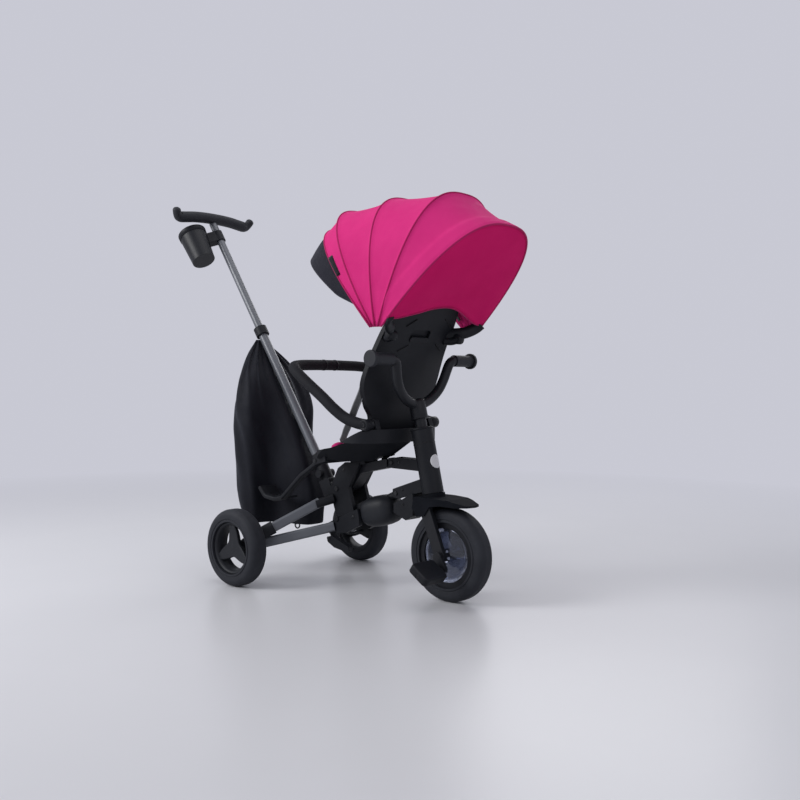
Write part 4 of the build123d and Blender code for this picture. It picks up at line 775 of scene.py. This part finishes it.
def bag_rows(steps):
    """The bag's wall from its floor up, with folds that deepen where it is gathered."""
    rings = [(z, bag_outline(outline)) for z, outline in BAG_LEVELS]
    rows = []
    for step in range(steps + 1):
        z = mix(BAG_LOW, BAG_HIGH, step / steps)
        row = bag_level(rings, z)
        middle = sum(row, vec(0, 0)) / BAG_RING
        gather = smooth((z - 430) / 190)
        depth = mix(LOOSE_FOLD, GATHERED_FOLD, gather) * smooth((668 - z) / 60) * smooth((z - 120) / 90)
        limit = pole_back(z)
        shaped = []
        for k, flat in enumerate(row):
            ahead = heading(row, k, closed=True)
            out = vec(-ahead.y, ahead.x).normalized() if ahead.length > 1e-6 else vec(1, 0)
            if out.dot(flat - middle) < 0 and abs(flat.x - middle.x) < 1:
                out.negate()
            around = 2 * pi * k / BAG_RING
            drift = 0.5 * noise.noise(vec(0, around, z / 160))
            fold = 0.6 * cos(9 * around + 3 * drift + 0.6) + 0.4 * cos(17 * around - 2 * drift + z / 120)
            slack = noise.noise(vec(cos(around) * 2.2, sin(around) * 2.2, z / 75))
            push = depth * fold + BAG_SLACK * slack * smooth((z - BAG_LOW) / 60) * smooth((600 - z) / 80)
            point = flat + out * (push - BAG_INSET)
            if z > 300 and point.x > limit and abs(point.y) < 2 * LOWER_POLE_R:
                point.x = limit
            shaped.append(vec(point.x, point.y, z))
        rows.append(shaped)
    return rows


def storage_bag():
    made = Builder()
    rows = bag_rows(64)
    base = rows[0]
    middle = sum(base, vec(0, 0, 0)) / BAG_RING
    floor_rows = []
    for share in (0.02, 0.25, 0.5, 0.75, 0.92, 0.975):
        floor_rows.append([middle.lerp(point, share) + vec(0, 0, 1.5 - 1.5 * share) for point in base])
    rounded = [[middle.lerp(point, 0.992) + vec(0, 0, 1.2) for point in base]]
    made.shell(floor_rows + rounded + rows[1:], BAG_CLOTH, ring=True)
    made.tube(rows[5], 1.3, 1, sides=6, closed=True)
    piece = made.fit("bag_sack", [NYLON, BLACK_TAPE], "frame", "storage_bag")


storage_bag()


# The backrest's curve
def circle_through(a, b, c):
    """Centre and radius of the circle through three side-view points."""
    ax, az = a
    bx, bz = b
    cx, cz = c
    d = 2 * (ax * (bz - cz) + bx * (cz - az) + cx * (az - bz))
    a2, b2, c2 = ax * ax + az * az, bx * bx + bz * bz, cx * cx + cz * cz
    ux = (a2 * (bz - cz) + b2 * (cz - az) + c2 * (az - bz)) / d
    uz = (a2 * (cx - bx) + b2 * (ax - cx) + c2 * (bx - ax)) / d
    return ux, uz, sqrt((ax - ux) ** 2 + (az - uz) ** 2)


BACK_CIRCLE = circle_through(BACK_FOOT, BACK_MIDDLE, BACK_TOP)


def back_x(y, z, depth):
    """The backrest's surface at a depth in front of its rear face."""
    cx, cz, r = BACK_CIRCLE
    line = cx + copysign(sqrt(r * r - (z - cz) ** 2), BACK_MIDDLE[0] - cx) - depth
    hinge = BACK_MIDDLE[0] - BACK_CURVE_R
    return hinge + sqrt((line - hinge) ** 2 - y * y)


# Half the backrest's width at heights
BACK_WIDTHS = [(404, 93), (425, 93), (446, 95), (468, 112), (490, 124), (512, 136), (540, 141), (568, 139),
               (600, 135), (640, 131), (683, 124), (705, 114), (740, 98), (752, 84)]


def back_half(z):
    for (z0, w0), (z1, w1) in zip(BACK_WIDTHS, BACK_WIDTHS[1:]):
        if z <= z1:
            return mix(w0, w1, (z - z0) / (z1 - z0))
    return BACK_WIDTHS[-1][1]


# Pads
PAD_PRESSURE = 4
SETTLE_FRAMES = 20


def stuffed(name, rows, voxel, cap, seams, body, replaced):
    """A pad through rings of points, puffed up like stuffed cloth, each point kept near where it began."""
    made = Builder()
    made.grid(rows, ring=True, flip=True, ends=True)
    piece = made.fit(name, [PINK_PAD], body, replaced)
    remesh = piece.modifiers.new("remesh", "REMESH")
    remesh.mode = "VOXEL"
    remesh.voxel_size = voxel
    apply_modifiers(piece)
    rest = [vertex.co.copy() for vertex in piece.data.vertices]
    cloth = piece.modifiers.new("cloth", "CLOTH")
    cloth.settings.use_pressure = True
    cloth.settings.uniform_pressure_force = PAD_PRESSURE
    cloth.settings.quality = 5
    cloth.settings.effector_weights.gravity = 0
    for number in range(1, SETTLE_FRAMES + 1):
        scene.frame_set(number)
    apply_modifiers(piece)
    scene.frame_set(1)
    for vertex, place in zip(piece.data.vertices, rest):
        moved = vertex.co - place
        if moved.length > cap:
            vertex.co = place + moved.normalized() * cap
    divide = piece.modifiers.new("divide", "SUBSURF")
    divide.levels = 1
    divide.render_levels = 1
    apply_modifiers(piece)
    for polygon in piece.data.polygons:
        polygon.use_smooth = True
    press_seams(piece, seams)
    return piece


def apply_modifiers(piece):
    bpy.context.view_layer.update()
    graph = bpy.context.evaluated_depsgraph_get()
    old = piece.data
    piece.data = bpy.data.meshes.new_from_object(piece.evaluated_get(graph))
    piece.modifiers.clear()
    if not piece.data.materials:
        piece.data.materials.append(PINK_PAD)
    bpy.data.meshes.remove(old)


def press_seams(piece, depth_at):
    """Draw the sewn lines into a pad; depth_at gives the depth in mm at a point of the drawing."""
    normals = [vertex.normal.copy() for vertex in piece.data.vertices]
    for vertex, normal in zip(piece.data.vertices, normals):
        x = vertex.co.x * 1000 + MIDDLE_X
        depth = depth_at(x, vertex.co.y * 1000, vertex.co.z * 1000, normal)
        vertex.co -= normal * depth / 1000


def groove(distance, depth, width):
    return depth * exp(-(distance / width) ** 2)


# Seat cushion: share of its outline, height
SEAT_PAD_RINGS = [(0.82, 354), (0.95, 355), (1, 359), (0.98, 363), (0.9, 367), (0.7, 371),
                  (0.35, 373.5), (0.02, 374)]
SEAT_PAD_X = (208, 329)
SEAT_PAD_MIDDLE = 268
SEAT_PAD_HALF = 122
SEAT_PAD_ROUND = 0.38
SEAT_CHANNEL_Y = 46
SEAT_EDGE_Y = 86
SEAT_CROSS_X = 300


def seat_seams(x, y, z, normal):
    """Two channels along the seat, one across between them, and one near each side."""
    if normal.z < 0.2:
        return 0
    depth = groove(abs(y) - SEAT_CHANNEL_Y, 3.2, 3.4)
    if abs(y) < SEAT_CHANNEL_Y:
        depth = max(depth, groove(x - SEAT_CROSS_X, 2.6, 3.4))
    return max(depth, groove(abs(y) - SEAT_EDGE_Y, 2.4, 3.2))


def seat_point(ring, turn):
    """A point of the seat cushion, narrower towards the backrest and clear of the pan's sloping sides."""
    share, rise = ring
    y = squared(cos(turn), SEAT_PAD_ROUND) * SEAT_PAD_HALF
    x = mix(*SEAT_PAD_X, 0.5 + squared(sin(turn), SEAT_PAD_ROUND) / 2)
    y *= 1 - 0.2 * smooth((x - 236) / 24) - 0.2 * smooth((x - 262) / 80)
    x = mix(SEAT_PAD_MIDDLE, x, share)
    slope = -BOW_NORMAL[2] * (rise - BOW_Z) - 14 - BOW_NORMAL[0] * (x - BOW_X)
    room = max(12, slope / BOW_NORMAL[1] - 6)
    y = copysign(min(abs(y * share), room), y)
    turned_up = 9 * smooth((258 - x) / 24) * smooth((abs(y) - 70) / 40) * smooth((rise - 355) / 8)
    return vec(x, y, rise + turned_up)


# Back cushion: share of its outline, depth in front of the backrest's rear face
BACK_PAD_RINGS = [(0.04, 15.6), (0.3, 15.6), (0.6, 15.6), (0.8, 15.6), (0.90, 15.8), (0.98, 17),
                  (1, 22), (0.97, 27), (0.86, 31.5), (0.55, 33.5), (0.04, 34)]
BACK_PAD_MIDDLE = 588
BACK_PAD_HALF = 146
BACK_PAD_INSET = 22
BACK_PAD_ROUND = 0.42
BACK_CHANNEL_Y = 62
BACK_CROSS_Z = (490, 560, 630, 690)


def back_seams(x, y, z, normal):
    """Two upright channels, and four across between them."""
    if normal.x > -0.2:
        return 0
    depth = groove(abs(y) - BACK_CHANNEL_Y, 3, 3.6)
    if abs(y) < BACK_CHANNEL_Y:
        depth = max([depth] + [groove(z - level, 2.6, 3.4) for level in BACK_CROSS_Z])
    return depth


def back_point(ring, turn):
    share, depth = ring
    z = BACK_PAD_MIDDLE + BACK_PAD_HALF * squared(sin(turn), BACK_PAD_ROUND) * share
    y = squared(cos(turn), BACK_PAD_ROUND) * (back_half(z) - BACK_PAD_INSET) * share
    return vec(back_x(y, z, depth), y, z)


seat_rows = rows_of(seat_point, SEAT_PAD_RINGS, turns(64))
back_rows = rows_of(back_point, BACK_PAD_RINGS, turns(96))
stuffed("seat_cushion", seat_rows, 0.005, 0.005, seat_seams, "seat", "seat_pad")
back_cushion = stuffed("back_cushion", back_rows, 0.0055, 0.004, back_seams, "backrest", "back_pad")

# Webbing: a strap's section as shares of its width and thickness
STRAP_THICK = 1.6
STRAP_SECTION = [(k / 4, 0.5) for k in range(-2, 3)] + [(k / 4, -0.5) for k in range(2, -3, -1)]


def strap(made, line, width, face):
    """A flat strap along a line; face gives the direction its flat side looks to."""
    rows = []
    for index, point in enumerate(line):
        ahead = heading(line, index).normalized()
        side = ahead.cross(face).normalized()
        out = side.cross(ahead).normalized()
        rows.append([point + side * width * a + out * STRAP_THICK * b for a, b in STRAP_SECTION])
    first, count = made.grid(rows, ring=True, ends=True)
    for spot in range(first, first + len(rows) * count):
        across = STRAP_SECTION[(spot - first) % count][0] + 0.5
        made.uvs[spot] = (across * STRAP_UV, made.uvs[spot][1])


def pad_front(y, z):
    """Where the back cushion's front is, from the cushion itself."""
    hit, place = back_cushion.ray_cast(at(0, y, z), AHEAD)[:2]
    return place.x * 1000 + MIDDLE_X if hit else back_x(y, z, 36)


def shoulder_straps():
    """Two straps down the back cushion, each with a two-bar slider."""
    made = Builder()
    for side in (-1, 1):
        y = side * 59
        line = [vec(pad_front(y, z) - 2.2, y, z) for z in range(690, 469, -10)]
        strap(made, line, 25, BEHIND)
        for middle in line[8:10]:
            made.tube([middle + vec(-2.5, end, 0) for end in (-15, 15)], 3.2, 1, sides=8)
    made.fit("shoulder_straps", [WEBBING, BLACK], "backrest", "harness")


LAP_LINE = [(352, -127, 524), (338, -125, 499), (318, -121, 470), (300, -115, 445), (280, -106, 424),
            (262, -98, 406), (244, -86, 391), (230, -77, 381), (218, -70, 375)]


def lap_strap():
    """The lap strap on the right, from the backrest's side down to the seat cushion."""
    made = Builder()
    strap(made, curve_through([Vector(point) for point in LAP_LINE], 6), 21, vec(0.15, -1, 0.1))
    piece = made.build("lap_strap", [WEBBING])
    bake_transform(piece)


shoulder_straps()
lap_strap()

# Trim of the head tube; the plate's rings are radius, height over the tube
PLATE_Z = 332
PLATE_RINGS = [(0.3, 0.9), (8, 0.9), (15, 0.9), (16.6, 0.8), (17.2, 0.2)]


def head_axis(z):
    return vec(HEAD_TOP[0] - (z - HEAD_TOP[1]) * tan(HEAD_LEAN), 0, z)


def head_trim():
    """A parting line, a lip at the top and a blank round plate on the front of the head tube; the parting
    line is a thin near-black ring of painted shade standing in for its groove.
    """
    made = Builder()
    side = HEAD_DIR.cross(LEFT)
    for z, r, proud, mark in ((380, 0.7, 0.1, 1), (415, 2.2, 0.4, 0)):
        centre = head_axis(z)
        ring = [centre + (side * cos(turn) + LEFT * sin(turn)) * (HEAD_R + proud) for turn in turns(64)]
        made.tube(ring, r, mark, sides=8, closed=True)

    def plate_point(ring, turn):
        radius, lift = ring
        bend = radius * cos(turn) / HEAD_R
        out = HEAD_FRONT * cos(bend) + LEFT * sin(bend)
        return head_axis(PLATE_Z) + HEAD_DIR * radius * sin(turn) + out * (HEAD_R + lift)

    made.grid(rows_of(plate_point, PLATE_RINGS, turns(48)), 2, ring=True)
    made.fit("head_trim", [BLACK, RECESS_SHADE, WHITE_DISC], "head")


# Screws on the right: body, radius, places
SCREWS = [
    ("frame", 4.2, [(243, -50, 183), (161, -50, 148), (152, -36, 262), (196, -36, 300)]),
    ("head", 3.6, [(384, -19.5, 262), (372, -19.5, 331), (392, -26, 226)]),
]


def screw(made, place, out, radius):
    """A domed screw head with a cross in it, the cross drawn as raised bars in near-black painted shade for
    the recess.
    """
    dome = [(-1, radius), (0.6, radius), (1.6, radius * 0.85), (2.1, radius * 0.5), (2.2, 0.05)]
    made.lathe(place, out, dome, 0, 20)
    side = out.cross(vec(0.3, 0.1, 1)).normalized()
    top = place + out * 2
    for way in (side, out.cross(side)):
        made.tube([top - way * radius * 0.55, top + way * radius * 0.55], 0.55, 1, sides=4)


def screws():
    for body, radius, spots in SCREWS:
        made = Builder()
        for spot in spots:
            screw(made, Vector(spot), RIGHT, radius)
        made.fit(body + "_screws", [DARK_STEEL, RECESS_SHADE], body)


# Slots in the back of the shell, drawn in painted shade: the two ends of each, across and up
BACK_SLOTS = [((-64, 667), (-37, 685)), ((70, 691), (106, 674)), ((-62, 608), (-30, 623)),
              ((74, 630), (110, 613))]


def back_trim():
    """Slots in the back of the shell as flat near-black strips of painted shade, and a near-black sheet of
    painted shade as the floor of the handle's pocket.
    """
    made = Builder()
    for start, end in BACK_SLOTS:
        spots = [(mix(start[0], end[0], share), mix(start[1], end[1], share)) for share in shares(8)]
        made.tube([vec(back_x(y, z, 0.3), y, z) for y, z in spots], 3.2, flat=0.35)
    rows = [[vec(back_x(y, z, 14.3), y, z) for y in range(-42, 43, 12)] for z in range(622, 673, 10)]
    made.shell(rows, 0.6)
    made.fit("back_slots", [RECESS_SHADE], "backrest")


# Handlebar and push bar, from the left end to the middle
HANDLEBAR_LINE = [(436, 172, 587), (436, 140, 587), (436, 118, 586.5), (435, 105, 578), (431.5, 98, 560),
                  (427.5, 90, 537), (423.5, 75, 512), (420, 52, 492), (418, 26, 480), (417, 0, 476)]
CLAMP_PROFILE = [(-20, 15.2), (-20, 19.5), (-18.5, 21), (22, 21), (28, 19), (31, 13),
                 (32, 0.1)]
PUSH_BAR_LINE = [(-387, 141, 1043), (-391, 138, 1034), (-396, 132, 1024), (-399, 123, 1019),
                 (-399.3, 105, 1020.5), (-399.3, 60, 1026), (-399.3, 0, 1028)]
STUB_R = 12
PUSH_GRIP_R = 16.2
PUSH_TIP = 9


def handlebar_tube():
    """The handlebar as one bent tube through its clamp on the steerer."""
    made = Builder()
    made.tube(curve_through(mirrored(HANDLEBAR_LINE), 8), 12.4, sides=24)
    made.lathe(head_axis(459), HEAD_DIR, CLAMP_PROFILE, 0, 48)
    made.fit("handlebar_tube", [PAINTED], "steering", "handlebar")


def push_bar_grip():
    """The parent's bar: a thick, slightly arched grip with a stub turned up at each end."""
    line = curve_through(mirrored(PUSH_BAR_LINE), 10)
    run = run_along(line)
    radii = []
    for along in run:
        to_end = min(along, run[-1] - along)
        tip = sqrt(max(0, 1 - (1 - min(1, to_end / PUSH_TIP)) ** 2))
        radii.append(max(0.3, mix(STUB_R, PUSH_GRIP_R, smooth((to_end - 18) / 26)) * tip))
    made = Builder()
    made.tube(line, radii, sides=28)
    made.fit("push_bar_grip", [RUBBER], "handle", "push_bar")


KNOB_PROFILE = [(-13, 0.1), (-13, 11.5), (-11.5, 13), (7, 13), (9, 11), (9.4, 8), (10.6, 7.6),
                (11.4, 6), (11.6, 0.1)]
KNOB_Y = 133
BRACKET_Y = 112
BRACKET_Z = 640


def mount_knobs():
    """The canopy's mounts: a bracket off the backrest, a knob on the pivot and an arm to the rear hoop."""
    made = Builder()
    for side in (-1, 1):
        out = vec(0, side, 0)
        knob = vec(CANOPY_PIVOT[0], side * KNOB_Y, CANOPY_PIVOT[1])
        made.lathe(knob, out, KNOB_PROFILE)
        foot = vec(back_x(BRACKET_Y, BRACKET_Z, 4), side * BRACKET_Y, BRACKET_Z)
        bracket = [foot, foot.lerp(knob, 0.5) + vec(0, 0, -3), knob - out * 3]
        made.tube(curve_through(bracket, 6), 11, sides=20)
        arm = [foot + vec(0, 0, 16)]
        for reach, x, z in ((4, 4, 15), (22, 14, 20), (38, 25, 29), (44, 38, 40)):
            arm.append(knob + out * reach + vec(x, 0, z))
        made.tube(curve_through(arm, 8), 8.5, sides=20, flat=1.75)
    made.fit("mount_knobs", [BLACK], "backrest", "canopy_mounts")


# Rear hubs
AXLE_Z = 100
HUB_Y = 235
STAR_R = 59.5
RIM_PROFILE = [(-18.5, 67.9), (17.5, 67.9), (19, 66.5), (19, 63.5), (17, 61.5), (15, 58.9),
               (-17, 58.9), (-18.5, 60), (-18.5, 67.9)]
BOSS_PROFILE = [(2, 16.5), (-18, 16.5), (-18.9, 15.5), (-18.9, 6.2), (2, 6.2)]
STAR_RINGS = [(0.02, 0), (0.12, 0), (0.3, 0), (0.5, 0), (0.7, 0), (0.86, 0), (0.95, 0.3),
              (0.99, 1.2), (1, 2.6), (1, 9), (0.97, 10), (0.6, 10), (0.02, 10)]


def star_radius(turn):
    """Radius of the hub's three-armed star at an angle from its upper arm."""
    off = 60 - abs((degrees(turn) + 60) % 120 - 60)
    return 25 + 34.5 * min(1, off / 52) ** 2.3


def rear_hubs():
    """The rear wheels' dished stars, each inside a stepped rim ring."""
    for side, name in ((1, "left"), (-1, "right")):
        out = vec(0, side, 0)
        centre = vec(0, side * HUB_Y, AXLE_Z)
        made = Builder()
        made.lathe(centre, out, RIM_PROFILE, 0, 72)
        made.lathe(centre, out, BOSS_PROFILE)

        def star_point(ring, turn):
            r = star_radius(turn) * ring[0]
            lift = 9 + 6 * (r / STAR_R) ** 2 + 1.6 * exp(-(r / 9) ** 4) - ring[1]
            return centre + out * lift + vec(r * sin(turn), 0, r * cos(turn))

        made.grid(rows_of(star_point, STAR_RINGS, turns(144)), ring=True, flip=side > 0)
        made.fit("hub_star_" + name, [SLATE], "rear_wheel_" + name, "rear_hub_" + name)


# Cover of the lower arm's joint: place along it, shares of its height and width
BARREL_START = vec(265, 0, 191)
BARREL_END = vec(346, 0, 212)
BARREL_HALF = 47
BARREL_TALL = 40
BARREL_RINGS = [(-0.02, 0.1, 0.1), (-0.02, 0.72, 0.84), (0, 0.8, 0.92), (0.04, 0.86, 0.96),
                (0.16, 0.96, 1), (0.35, 1, 1), (0.6, 0.98, 0.98), (0.8, 0.91, 0.92), (0.92, 0.8, 0.82),
                (1, 0.64, 0.68), (1.05, 0.4, 0.44), (1.07, 0.1, 0.1)]


def hub_barrel():
    """The rounded cover over the joint of the lower arm."""
    ahead = (BARREL_END - BARREL_START).normalized()
    up = vec(-ahead.z, 0, ahead.x)

    def place(ring, turn):
        along, tall, wide = ring
        y = BARREL_HALF * wide * squared(cos(turn), 0.7)
        rise = BARREL_TALL * tall * squared(sin(turn), 0.75)
        return BARREL_START.lerp(BARREL_END, along) + up * rise + vec(0, y, 0)

    made = Builder()
    made.grid(rows_of(place, BARREL_RINGS, turns(48)), ring=True)
    made.fit("hub_barrel", [SLATE], "lower_link", "hub_cover")


# Bumper bar, from its right hinge to the middle
BUMPER_LINE = [(362, -127, 427), (335, -133, 431.5), (302, -140, 443), (269, -147, 465), (233, -152, 494),
               (183, -157, 530), (146, -157, 556), (122, -145, 570), (111, -112, 575), (106, -60, 576.5),
               (104, 0, 577)]
EYE_PROFILE = [(-13.5, 0.1), (-13.5, 13.5), (-12.5, 14.6), (11.5, 14.6), (13.6, 12.8), (14, 9),
               (12.6, 8.4), (12.6, 0.1)]
BAND_PROFILE = [(-3, 13.6), (-2.2, 14.9), (2.2, 14.9), (3, 13.6)]


def bumper_foam():
    """The bumper bar's foam sleeve, one smooth loop from hinge to hinge, with two end eyes and two bands."""
    made = Builder()
    made.tube(curve_through(mirrored(BUMPER_LINE), 8), 14, sides=24)
    for side in (-1, 1):
        made.lathe(vec(362, side * 127, 427), vec(0, side, 0), EYE_PROFILE, 1)
        made.lathe(vec(104.3, side * 21, 577), LEFT, BAND_PROFILE, 1)
    made.fit("bumper_foam", [FOAM, BLACK], "bumper", "bumper_bar")


# Cup's lid: its place along the pole, behind it and to the right
LID_PLACE = (806, 39, 60)
LID_PROFILE = [(-15, 40.4), (-14.4, 41.6), (-0.5, 42.6), (1.2, 42.2), (1.6, 40.5), (1.6, 34), (0.6, 30),
               (0.6, 0.1)]


def cup_lid():
    """The lid on the top of the cup."""
    up = vec(-sin(POLE_LEAN), 0, cos(POLE_LEAN))
    back = vec(-cos(POLE_LEAN), 0, -sin(POLE_LEAN))
    along, behind, aside = LID_PLACE
    top = vec(POLE_BASE[0], 0, POLE_BASE[1]) + up * along + back * behind + vec(0, -aside, 0)
    made = Builder()
    made.lathe(top, up, LID_PROFILE, 0, 64)
    made.fit("cup_lid", [BLACK], "cup")


head_trim()
screws()
back_trim()
handlebar_tube()
push_bar_grip()
mount_knobs()
rear_hubs()
hub_barrel()
bumper_foam()
cup_lid()

# Stage and light
BACKDROP = (0.58, 0.585, 0.655, 1)
FLOOR_SIDES = 96
FLOOR_RINGS = (0.6, 1.2, 2, 3.2, 8, 30)


def floor_material():
    """A pale, slightly glossy floor that goes over into the backdrop's colour away from the object."""
    material, bsdf, place, _ = start_material("pale_floor")
    colour = blended(speckle(place, 3), (0.66, 0.66, 0.69), (0.69, 0.69, 0.72))
    feed(bsdf, Base_Color=colour, Roughness=0.32, Specular_IOR_Level=0.3)
    length = calculated("LENGTH", place, kind="ShaderNodeVectorMath")
    far = ranged(length, 1.2, 3.2, 0, 1)
    glow = node(bsdf, "ShaderNodeEmission", Strength=1, Color=BACKDROP)
    mixed_surface(far, bsdf.outputs["BSDF"], glow.outputs["Emission"], "Material Output")
    return material


def floor():
    points = [(r * cos(turn), r * sin(turn), 0) for r in FLOOR_RINGS for turn in turns(FLOOR_SIDES)]
    faces = [tuple(range(FLOOR_SIDES))]
    for ring in range(len(FLOOR_RINGS) - 1):
        for k in range(FLOOR_SIDES):
            a = ring * FLOOR_SIDES + k
            b = ring * FLOOR_SIDES + (k + 1) % FLOOR_SIDES
            faces.append((a, a + FLOOR_SIDES, b + FLOOR_SIDES, b))
    mesh = bpy.data.meshes.new("floor")
    mesh.from_pydata(points, [], faces)
    mesh.materials.append(floor_material())
    new_object("floor", mesh)


def backdrop():
    """The world: the backdrop's colour where it is seen or mirrored, and a soft light everywhere else."""
    world = bpy.data.worlds.new("studio")
    scene.world = world
    world.use_nodes = True
    tree = world.node_tree
    seen = feed(tree.nodes["Background"], Color=BACKDROP)
    light = node(tree, "ShaderNodeBackground", Strength=0.4, Color=(0.9, 0.92, 1, 1))
    path = node(tree, "ShaderNodeLightPath")
    shown = path.outputs["Is Camera Ray"]
    for kind in ("Is Glossy Ray", "Is Transmission Ray"):
        shown = calculated("MAXIMUM", shown, path.outputs[kind])
    mixed_surface(shown, light.outputs["Background"], seen.outputs["Background"], "World Output")


def lamp(name, place, aim, size, power):
    data = bpy.data.lights.new(name, "AREA")
    data.shape = "RECTANGLE"
    data.size, data.size_y = size
    data.energy = power
    piece = new_object(name, data)
    piece.location = place
    piece.rotation_euler = (Vector(aim) - Vector(place)).to_track_quat("-Z", "Y").to_euler()


floor()
backdrop()
lamp("key", (-1.6, -2.6, 2.1), (0, 0, 0.5), (1.6, 1.6), 72)
lamp("top", (0.2, 0.2, 3.2), (0, 0, 0.3), (2.2, 2.2), 22)
lamp("fill", (2.6, -0.6, 1.4), (0, 0, 0.5), (1.4, 1.8), 5)
lamp("rim", (-0.6, 2.6, 1.8), (0, 0, 0.5), (1.6, 1.4), 14)
